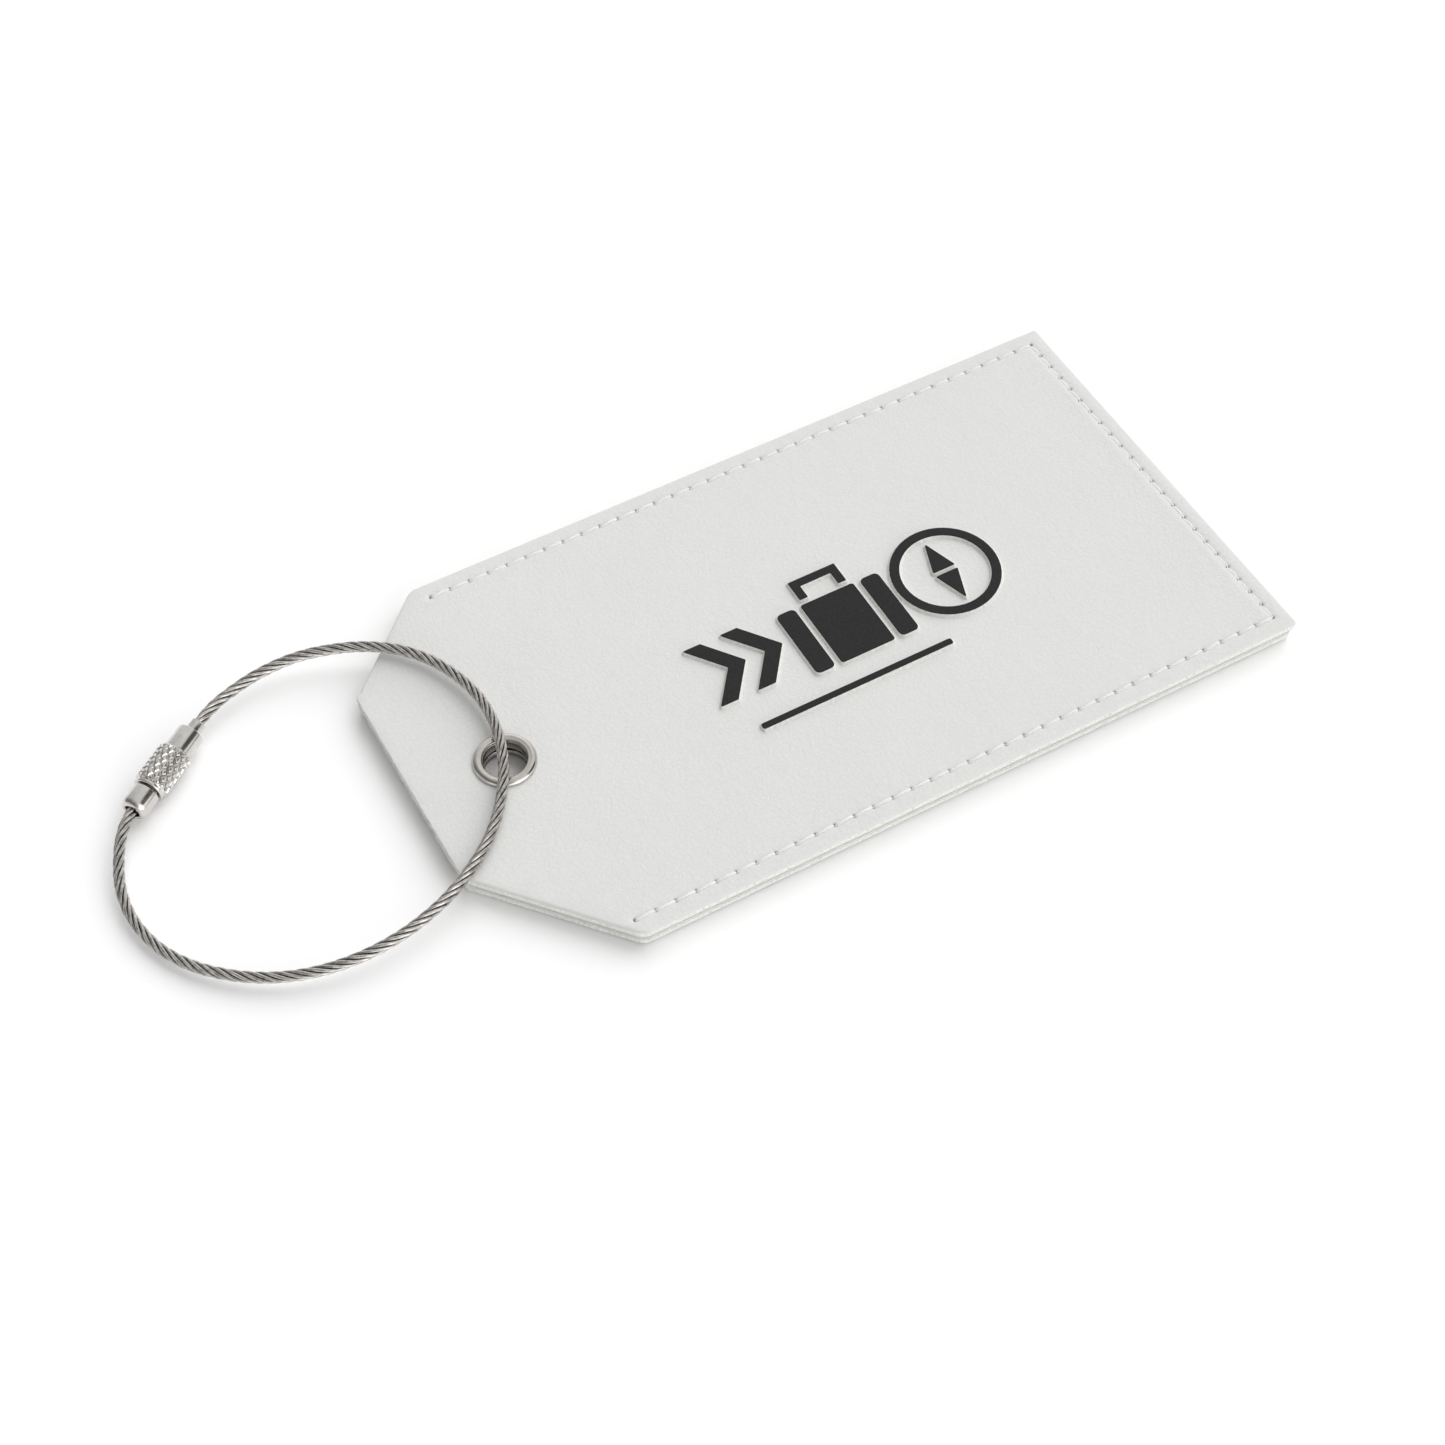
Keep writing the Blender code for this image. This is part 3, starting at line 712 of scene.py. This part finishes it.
def side_roughness(x, y, height):
    """How far a cut side stands out at a point: rough at the pocket's mouth, finer elsewhere."""
    place = Vector((x, y, height * 2))
    if x < ROUGH_END_X:
        return 0.10 * noise.noise(place / 0.9) + 0.10 * noise.noise(place / 0.3)
    return 0.016 * noise.noise(place / 0.35) + 0.010 * noise.noise(place / 0.13)


def sheet_piece(name, node, level, face_up, soft, materials, relief=None, extra=(),
                body="tag", grow=0.0):
    """A flat sheet with soft rims, made from a CAD node's outline, grown by a distance.

    Its face is where the relief goes: upwards, or downwards when face_up is False. The three
    materials are the face's, the side's and the back's.
    """
    low, high = box_mm(node)
    thickness = high.z - low.z
    loops = [resampled(loop, EDGE_SPACING) for loop in flat_loops(node, level)]
    profile = edge_profile(thickness, soft)
    vertices, faces, indices, rim = [], [], [], []
    face_rings, back_rings = [], []
    for loop in loops:
        start, count = len(vertices), len(loop)
        for row, (depth, height) in enumerate(profile):
            blend = min(1.0, row / 3, (len(profile) - 1 - row) / 2)
            for edge, point in zip(inset(loop, -grow), inset(loop, depth - grow)):
                out, level_here = 0.0, height
                if (EYELET_CENTRE - point).length > EYELET_RADIUS:
                    out = side_roughness(point.x, point.y, height) * blend
                if edge.x < ROUGH_END_X and relief:
                    point = edge.lerp(point, MOUTH_SOFTNESS)
                    if row < RIM_ROWS:
                        level_here = thickness - (thickness - height) * MOUTH_SOFTNESS
                shift = point.normalized() * out
                vertices.append([point.x + shift.x, point.y + shift.y, level_here])
                rim.append(1.0 if 0 < row < RIM_ROWS else 0.0)
        for row in range(len(profile) - 1):
            faces += ring_faces(start + row * count, start + (row + 1) * count, count)
            indices += [0 if row < FACE_ROWS else 1] * count
        for first, rings in ((start, face_rings), (len(vertices) - count, back_rings)):
            rings.append((first, [Vector(v[:2]) for v in vertices[first:first + count]]))
    inner = spread(list(extra), [ring for _, ring in face_rings], POINT_MARGIN) if extra else []
    inner_start = len(vertices)
    vertices += [[p.x, p.y, thickness] for p in inner]
    rim += [0.0] * len(inner)
    for rings, more, material_index in ((face_rings, inner, 0), (back_rings, [], 2)):
        numbers = [first + i for first, ring in rings for i in range(len(ring))]
        numbers += [inner_start + i for i in range(len(more))]
        for triangle in fill([ring for _, ring in rings], more):
            corners = tuple(numbers[i] for i in triangle)
            faces.append(tuple(reversed(corners)) if rings is back_rings else corners)
            indices.append(material_index)
    flat = np.array([v[:2] for v in vertices])
    pit = np.zeros(len(vertices))
    if relief:
        # pit holds the painted shade round each needle hole.
        pit = np.minimum(1.0, HOLE_SHADE_STRENGTH * hill(hole_distance(flat), HOLE_SHADE_SPREAD))
        face_height = 0.999 * thickness
        for vertex, rise in zip(vertices, relief(flat)):
            if vertex[2] > face_height:
                vertex[2] += rise
    for vertex in vertices:
        wave = waviness(vertex[0], vertex[1]) * vertex[2] / thickness if relief else 0.0
        vertex[2] = low.z + vertex[2] + wave if face_up else high.z - vertex[2] + max(0.0, wave)
    if not face_up:
        faces = [tuple(reversed(face)) for face in faces]
    return piece(name, vertices, faces, materials, body, [node], indices,
                 points={"pit": pit, "rim": rim})


def make_panels():
    leather, edge = leather_material(), cut_edge_material()
    lining = felt_material("lining_felt", (0.66, 0.65, 0.61), (0.80, 0.79, 0.75))
    tape = felt_material("tan_tape", (0.50, 0.43, 0.35), (0.64, 0.57, 0.48))
    extra = seam_points() + eyelet_points() + grid_points(FRONT_LOW, FRONT_HIGH, 2.2)
    sheet_piece("front_panel", "front_leather", FRONT_LOW.z, True, PANEL_SOFTNESS,
                [leather, edge, lining], face_relief, extra)
    sheet_piece("rear_panel", "rear_leather", REAR_HIGH.z, False, PANEL_SOFTNESS,
                [leather, edge, lining],
                lambda points: face_relief(points, REAR_CHANNEL_DEPTH), extra)
    film, card = film_material(), card_material()
    for name, node, material, slot, soft, grow, body in (
            ("front_lining_sheet", "front_lining", lining, "lining", 0.06, 0.10, "tag"),
            ("rear_lining_sheet", "rear_lining", lining, "lining", 0.06, 0.13, "tag"),
            ("edge_tape_strip", "seam_tape", tape, "edge_tape", 0.06, 0.0, "tag"),
            ("film_sheet", "window_film", film, "window_film", 0.05, 0.0, "tag"),
            ("ruled_address_card", "address_card", card, "card", 0.05, 0.0, "card")):
        sheet_piece(name, node, box_mm(node)[1].z, True, soft, [material] * 3,
                    body=body, grow=grow)


# ---- stitches

STITCH_SPREAD = 0.12  # from the stitch's middle to a ply's
STITCH_SINK = -0.36  # where its ends go into the leather
STITCH_FLATNESS = 0.7  # a stitch is this much as thick as it is wide
PLY_RADIUS = 0.13
PLY_TURNS = 3.2  # turns of the plies in one stitch
END_SINK = 0.13  # the seam across the end is pulled this much deeper


def stitch_plies(start, end, plane, upward, sunk=0.0, plies=3, steps=16):
    """The twisted plies of one stitch, sunk into its needle holes at both ends."""
    along = end - start
    across = Vector((-along.y, along.x)).normalized()
    slant = RANDOM.uniform(0.05, 0.13)
    lift = RANDOM.uniform(-0.08, -0.02) - sunk
    phase = RANDOM.uniform(0, TURN)
    paths = []
    for ply in range(plies):
        path = []
        for step in range(steps + 1):
            share = step / steps
            rise = sin(pi * share) ** 0.5
            centre = start + along * (0.02 + 0.96 * share) + across * slant * (2 * share - 1)
            turn = phase + TURN * (ply / plies + share * PLY_TURNS)
            sideways = centre + across * STITCH_SPREAD * cos(turn)
            height = STITCH_SINK + (lift - STITCH_SINK) * rise
            height += STITCH_SPREAD * STITCH_FLATNESS * sin(turn)
            path.append(Vector((sideways.x, sideways.y, plane + upward * height)))
        paths.append(path)
    return paths


def make_stitches(name, node, plane, upward, material):
    paths = []
    for run, sunk in zip(SEAM_RUNS, (0.0, END_SINK, 0.0)):
        for start, end in zip(run, run[1:]):
            paths += stitch_plies(start, end, plane, upward, sunk)
    vertices, faces = tubes(paths, PLY_RADIUS, 6)
    piece(name, vertices, faces, [material], "tag", [node], sharp=80)


# ---- raised motif

MOTIF_CORNER = 0.16


def make_raised(node, wall, top):
    """A raised print: a pale wall that swells out at its foot, and a black top."""
    top_height = box_mm(node)[1].z
    foot = FRONT_HIGH.z - 0.02
    profile = [(0.03, top_height), (-0.02, top_height - 0.04), (-0.04, top_height - 0.09),
               (-0.10, top_height - 0.14), (-0.19, foot + 0.22), (-0.24, foot + 0.10),
               (-0.34, foot)]
    black_rows = 2
    vertices, faces, indices, top_rings, foot_numbers = [], [], [], [], []
    for loop in (rounded(loop, MOTIF_CORNER) for loop in flat_loops(node, top_height)):
        start, count = len(vertices), len(loop)
        for depth, height in profile:
            vertices += [(p.x, p.y, height) for p in inset(loop, depth)]
        for row in range(len(profile) - 1):
            faces += ring_faces(start + row * count, start + (row + 1) * count, count)
            indices += [0 if row < black_rows else 1] * count
        top_rings.append(range(start, start + count))
        foot_numbers += range(len(vertices) - count, len(vertices))
    top_numbers = [i for ring in top_rings for i in ring]
    outline = [[Vector(vertices[i]) for i in ring] for ring in top_rings]
    for triangle in tessellate_polygon(outline):
        a, b, c = (Vector(vertices[top_numbers[i]][:2]) for i in triangle)
        upward = triangle if (b - a).cross(c - a) > 0 else (triangle[0], triangle[2], triangle[1])
        faces.append(tuple(top_numbers[i] for i in upward))
        faces.append(tuple(foot_numbers[i] for i in reversed(upward)))
        indices += [0, 1]
    piece("raised_" + node.removeprefix("motif_"), vertices, faces, [top, wall], "tag", [node],
          indices, sharp=36)


def make_motif():
    wall, top = print_wall_material(), print_top_material()
    for node in sorted(n for n in frame["nodes"] if n.startswith("motif_")):
        make_raised(node, wall, top)


# ---- eyelets

EYELET_BORE = 2.9
EYELET_BARREL = 3.17
EYELET_ROLL = 3.6
EYELET_SHOULDER = 0.72  # how wide the flange's outer slope is
EYELET_LIP = 0.30  # the round from its crest into the bore
FRONT_FLANGE_HEIGHT = 0.66
REAR_FLANGE_HEIGHT = 0.42
REAR_SEAT = 0.43  # where the rear flange lies, above the floor


def eyelet_section(height, back):
    """A turned section from the flange's rim over its crest and down to the rolled end."""
    rim, rise, lip = EYELET_RADIUS, 0.05, EYELET_LIP
    crest = arc((rim - EYELET_SHOULDER, rise), (EYELET_SHOULDER, height - rise), 0, 90, 12)
    inward = arc((EYELET_BORE + lip, 0.86 * height - lip), (lip, lip), 75, 180, 8)
    bead = arc((EYELET_BORE + 0.05, 0.16 * height), (0.09, 0.09 * height), 60, 180, 4)
    barrel = [(EYELET_BORE, 0.0)]
    roll = arc((EYELET_BORE + 0.1, back + 0.1), (0.1, 0.1), 180, 270, 3)
    roll += arc((EYELET_ROLL - 0.05, back + 0.05), (0.05, 0.05), -90, 90, 4)
    seat = [(EYELET_BARREL, back + 0.12), (EYELET_BARREL, 0.02), (rim - 0.06, 0.02)]
    return crest + inward + bead + barrel + roll + seat


def make_eyelet(name, node, plane, upward, height, back, material):
    """An eyelet on a plane, with its barrel down to back and painted shade on the bore's wall."""
    vertices, faces = turned_mesh(eyelet_section(height, back), 96)
    placed = [(x + EYELET_CENTRE.x, upward * y, plane + upward * z) for x, y, z in vertices]
    # inner marks the bore's wall, where the nickel gets painted shade.
    bore, bore_shade_from, bore_shade_to = EYELET_BORE + 0.01, back + 0.4, 0.12 * height
    inner = [1.0 if math.hypot(x, y) < bore and bore_shade_from < z < bore_shade_to else 0.0
             for x, y, z in vertices]
    piece(name, placed, faces, [material], "tag", [node], sharp=40,
          points={"inner": inner})


def make_eyelets():
    """Two modelled eyelets. Their washers keep their CAD shape and get the same metal."""
    nickel = nickel_material(EYELET_CENTRE.to_3d())
    make_eyelet("front_eyelet_shell", "front_eyelet", FRONT_HIGH.z, 1, FRONT_FLANGE_HEIGHT,
                EYELET_LOW.z - FRONT_HIGH.z, nickel)
    make_eyelet("rear_eyelet_shell", "rear_eyelet", REAR_SEAT, -1, REAR_FLANGE_HEIGHT,
                REAR_SEAT - box_mm("rear_eyelet")[1].z, nickel)
    for node in ("front_eyelet_washer", "rear_eyelet_washer"):
        slots = frame["nodes"][node].data.materials
        slots.clear()
        slots.append(nickel)


# ---- clasp

NUT_JOINT = next(j for j in frame["joints"] if j["name"] == "nut_turn")
CLASP_ORIGIN = Vector(NUT_JOINT["pos_m"]) / MM
CLASP_AXIS = -Vector(NUT_JOINT["axis"]).normalized()
KNURLS_AROUND = 14
KNURL_STEPS = 10  # columns and rows in each diamond
KNURL_LENGTH = 1.64
KNURL_CREST = 2.30
KNURL_ROOT = 2.02
KNURL_FADE = 0.25  # the diamonds rise over this much of the grip's ends
KNURL_STEEPNESS = 1.9  # above 1, a diamond is flat on top
GRIP = (5.35, 11.25)  # the knurled stretch, along the clasp's axis
THREAD_PITCH = 0.5
THREAD_DEPTH = 0.17


def clasp_point(distance):
    return CLASP_ORIGIN + CLASP_AXIS * distance


def along_clasp(node):
    """Where a CAD node starts and ends along the clasp's axis."""
    places = [vertex.co / MM for vertex in frame["nodes"][node].data.vertices]
    reach = [(place - CLASP_ORIGIN).dot(CLASP_AXIS) for place in places]
    return min(reach), max(reach)


def clasp_piece(name, node, body, material, profile, columns, sharp=35, closed=True):
    """A piece turned about the clasp's axis, in the place of a CAD node."""
    vertices, faces = turned_mesh(profile, columns, closed)
    turn = Vector((0, 0, 1)).rotation_difference(CLASP_AXIS).to_matrix()
    placed = [CLASP_ORIGIN + turn @ Vector(v) for v in vertices]
    piece(name, placed, faces, [material], body, [node], sharp=sharp)


def to_whole(value):
    """Distance to the nearest whole number, from 0 to 0.5."""
    return abs(value - round(value))


def knurl_radius(height):
    """The nut's radius round one ring of its diamond knurl."""
    along = (height - GRIP[0]) / KNURL_LENGTH
    fade = min(1.0, (height - GRIP[0]) / KNURL_FADE, (GRIP[1] - height) / KNURL_FADE)

    def radius(angle):
        around = angle * KNURLS_AROUND / TURN
        nearest = min(to_whole(around + along), to_whole(around - along)) * 2
        diamond = min(1.0, KNURL_STEEPNESS * nearest)
        return KNURL_ROOT + (KNURL_CREST - KNURL_ROOT) * diamond * max(0.0, fade)

    return radius


def thread_radius(height, outer):
    """The stud's radius round one ring of its thread."""
    def radius(angle):
        phase = height / THREAD_PITCH - angle / TURN
        return outer - THREAD_DEPTH * (1 - 2 * to_whole(phase))

    return radius


def make_nut(material):
    start, end = along_clasp("knurled_nut")
    low, high = GRIP
    collar, band, bore, hole = 1.82, 2.05, 1.4, 1.1
    profile = [(hole, start), *arc((collar - 0.16, start + 0.16), (0.16, 0.16), -90, 0, 4),
               (collar, low - 0.12), (collar - 0.05, low - 0.06), (collar, low - 0.01),
               (KNURL_ROOT - 0.02, low)]
    rows = round((high - low) / KNURL_LENGTH * KNURL_STEPS)
    for row in range(1, rows):
        height = low + (high - low) * row / rows
        profile.append((knurl_radius(height), height))
    profile += [(KNURL_ROOT - 0.01, high), (band - 0.06, high + 0.05), (band, high + 0.1),
                *arc((band - 0.18, end - 0.18), (0.18, 0.18), 0, 90, 4),
                (bore + 0.1, end), (bore, end - 0.1), (bore, start + 1.0), (hole, start + 1.0)]
    clasp_piece("diamond_knurled_nut", "knurled_nut", "nut", material, profile,
                KNURLS_AROUND * KNURL_STEPS, sharp=24)


def make_stud(material):
    start, end = along_clasp("threaded_stud")
    head_start, head, bore, shank, axis = 12.1, 1.85, 1.05, 1.28, 0.02
    thread_start, thread_end = start + 0.15, head_start - 0.35
    profile = [(axis, start), (shank - 0.25, start)]
    rows = round((thread_end - thread_start) / (THREAD_PITCH / 8))
    for row in range(rows + 1):
        height = thread_start + (thread_end - thread_start) * row / rows
        profile.append((thread_radius(height, shank), height))
    profile += [(shank - 0.18, thread_end + 0.06), (shank - 0.18, head_start - 0.02),
                (head - 0.16, head_start),
                *arc((head - 0.12, head_start + 0.12), (0.12, 0.12), -80, 0, 4),
                *arc((head - 0.62, end - 0.95), (0.62, 0.95), 0, 78, 12),
                (bore + 0.12, end), *arc((bore + 0.1, end - 0.1), (0.1, 0.1), 90, 180, 3),
                (bore, end - 2.4), (axis, end - 2.5)]
    clasp_piece("stud_with_thread", "threaded_stud", "stud", material, profile, 96, closed=False)


def make_ferrule(material):
    start, end = along_clasp("crimp_ferrule")
    outer, bore, flange, flange_start = 1.0, 0.85, 1.3, 2.93
    crimp_depth, crimps = 0.05, 3

    def crimped(angle):
        return outer - crimp_depth * max(0.0, cos(crimps * angle)) ** 2

    profile = [(bore, start), (outer - 0.06, start), (outer, start + 0.07),
               (crimped, start + 0.35), (crimped, start + 1.5), (outer, start + 1.85),
               (outer, flange_start),
               (flange - 0.05, flange_start), (flange, flange_start + 0.05),
               (flange, end), (bore, end)]
    clasp_piece("crimped_ferrule", "crimp_ferrule", "loop", material, profile, 72)


# ---- wire rope

ROPE_DIAMETER = 1.5
ROPE_LAY = 10.0  # length of one turn of a strand round the rope
STRAND_LAY = -40.0  # wires turn slowly the other way inside their strand
STRANDS = 6
WIRES = 8
WIRE_VALLEY = 0.028  # how deep the grooves between wires are
ROPE_SHADE_START = 0.66  # nearer than this to the rope's middle, its colour darkens
ROPE_SHADE_WIDTH = 0.16
ROPE_STEP = 0.4
FERRULE_GRIP = 3.4  # how far the rope reaches into the ferrule
STUD_GRIP = 13.1  # where it ends inside the stud, along the clasp
ROPE_ROUTE = [
    (-74.6, 26.7, 2.33), (-72.0, 27.7, 2.40), (-67.3, 28.6, 2.76), (-62.3, 28.4, 3.30),
    (-57.6, 27.1, 3.72), (-53.1, 24.9, 4.07), (-49.2, 21.7, 4.36), (-46.4, 17.7, 4.57),
    (-44.5, 12.9, 4.71), (-43.8, 8.0, 4.76), (-44.3, 3.1, 4.72), (-45.9, -1.7, 4.60),
    (-48.4, -6.0, 4.43), (-51.6, -9.8, 4.19), (-55.5, -12.8, 3.90), (-60.0, -15.2, 3.56),
    (-64.7, -16.7, 3.21), (-69.5, -17.4, 2.86), (-74.5, -17.2, 2.49), (-79.4, -16.1, 2.13),
    (-84.0, -14.0, 1.80), (-88.0, -11.1, 1.53), (-91.5, -7.4, 1.31), (-94.0, -3.0, 1.20),
    (-95.2, 1.9, 1.44), (-94.9, 6.7, 1.87), (-93.2, 11.4, 2.24), (-91.4, 14.5, 2.33),
]


def smooth_route(points, spacing):
    """Evenly spaced points on a smooth curve through the route's points, and its length."""
    padded = [2 * points[0] - points[1]] + points + [2 * points[-1] - points[-2]]
    steps = 12
    fine = []
    for a, b, c, d in zip(padded, padded[1:], padded[2:], padded[3:]):
        for step in range(steps):
            t = step / steps
            fine.append(0.5 * (2 * b + (c - a) * t + (2 * a - 5 * b + 4 * c - d) * t * t
                               + (3 * b - a - 3 * c + d) * t ** 3))
    fine.append(points[-1])
    length = distances(fine)[-1]
    return points_at(np.linspace(0, length, round(length / spacing) + 1), fine), length


def strand_section():
    """Outline of a strand of wires, as (angle, radius)."""
    section = []
    for step in range(WIRES * 4):
        angle = TURN * step / (WIRES * 4)
        ridge = 0.5 + 0.5 * cos(WIRES * angle)
        section.append((angle, ROPE_DIAMETER / 6 - WIRE_VALLEY * (1 - ridge)))
    return section


def make_rope(material):
    """A rope of twisted strands, bent round the loop from the ferrule to the stud."""
    stud_end = along_clasp("threaded_stud")[1]
    route = [clasp_point(distance) for distance in (FERRULE_GRIP, 1.6, 0.0)]
    route += [Vector(p) for p in ROPE_ROUTE]
    route += [clasp_point(distance) for distance in (stud_end, 14.2, STUD_GRIP)]
    middle, length = smooth_route(route, ROPE_STEP)
    section = strand_section()
    strand_centre = ROPE_DIAMETER / 3
    frames = path_frames(middle)
    vertices, faces, depth = [], [], []
    for strand in range(STRANDS):
        faces += swept_faces(len(vertices), len(frames), len(section))
        for row, (point, normal, side) in enumerate(frames):
            travelled = row * length / (len(frames) - 1)
            turn = TURN * (strand / STRANDS + travelled / ROPE_LAY)
            twist = turn + TURN * travelled / STRAND_LAY
            out = normal * cos(turn) + side * sin(turn)
            centre = point + out * strand_centre
            for angle, reach in section:
                way = normal * cos(angle + twist) + side * sin(angle + twist)
                place = centre + way * reach
                vertices.append(place)
                shade = (ROPE_SHADE_START - (place - point).length) / ROPE_SHADE_WIDTH
                depth.append(min(1.0, max(0.0, shade)))
    rope = piece("wire_rope_strands", vertices, faces, [material], None, ["wire_rope"],
                 sharp=50, points={"depth": depth})
    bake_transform(rope)
    return rope, middle, length


# ---- floor and light

# Each zone of the sky: heading and height of its middle, outer and inner angle off it, then the
# brightness outside and within. The sky is their product.
SKY_ZONES = (((0, 5), (132, 60), (0.21, 1.25)),      # dim past the loop, bright past the sewn end
             ((0, 90), (80, 30), (1.0, 0.65)),       # dimmer overhead
             ((-104, 5), (72, 24), (1.0, 2.45)),     # a bright low panel along the near long side
             ((180, 4), (44, 14), (1.0, 3.2)),       # and a low one before the pocket's mouth
             ((241, 46), (34, 12), (1.0, 0.45)),     # dimmer behind the camera
             ((10, 2), (42, 14), (1.0, 0.5)),        # dimmer low down before the sewn end
             ((-17, 31), (24, 12), (1.0, 0.08)))     # a gap for polished metal to reflect


def make_stage():
    sweep = Surface("white_sweep", (0.97, 0.97, 0.97), 0.9, Specular_IOR_Level=0.0)
    mesh = bpy.data.meshes.new("floor")
    half, level = 12.0, -0.0001  # in metres
    corners = [(x * half, y * half, level) for x, y in ((-1, -1), (1, -1), (1, 1), (-1, 1))]
    mesh.from_pydata(corners, [], [(0, 1, 2, 3)])
    mesh.materials.append(sweep.material)
    add("floor", mesh)


def direction(heading, height):
    """A unit vector from degrees from +X towards +Y, and degrees above the floor."""
    heading, height = radians(heading), radians(height)
    return Vector((cos(heading) * cos(height), sin(heading) * cos(height),
                   sin(height)))


def make_sun(name, heading, height, spread_angle, strength):
    """A soft distant light from a direction. Polished metal doesn't show its disc."""
    data = bpy.data.lights.new(name, "SUN")
    data.energy = strength
    data.angle = radians(spread_angle)
    lamp = add(name, data)
    lamp.rotation_mode = "QUATERNION"
    lamp.rotation_quaternion = direction(heading, height).to_track_quat("Z", "Y")
    lamp.visible_glossy = False


def make_world():
    """A wide soft sky: the product of the zones."""
    world = bpy.data.worlds.new("studio")
    world.use_nodes = True
    bpy.context.scene.world = world
    sky = Nodes(world.node_tree, "Background", "Generated")
    sky.set("Color", (1.0, 1.0, 1.0, 1.0))
    brightness = 1.0
    for towards, angles, values in SKY_ZONES:
        limits = [cos(radians(angle)) for angle in angles]
        zone = sky.scaled(sky.along(direction(*towards)), *limits, *values, "SMOOTHSTEP")
        brightness = sky.math("MULTIPLY", brightness, zone)
    sky.feed("Strength", brightness)


# ---- build

make_camera()
rope, rope_path, rope_length = make_rope(rope_material())
clasp_steel = turned_steel_material(CLASP_AXIS)
make_ferrule(clasp_steel)
make_nut(clasp_steel)
make_stud(clasp_steel)
make_panels()
thread = thread_material()
make_stitches("front_stitches", "seam_thread_front", FRONT_HIGH.z, 1, thread)
make_stitches("rear_stitches", "seam_thread_rear", REAR_THREAD_PLANE, -1, thread)
make_motif()
make_eyelets()
make_stage()
make_world()
make_sun("key", heading=25, height=42, spread_angle=72, strength=2.1)
bpy.context.scene.view_settings.view_transform = "Standard"
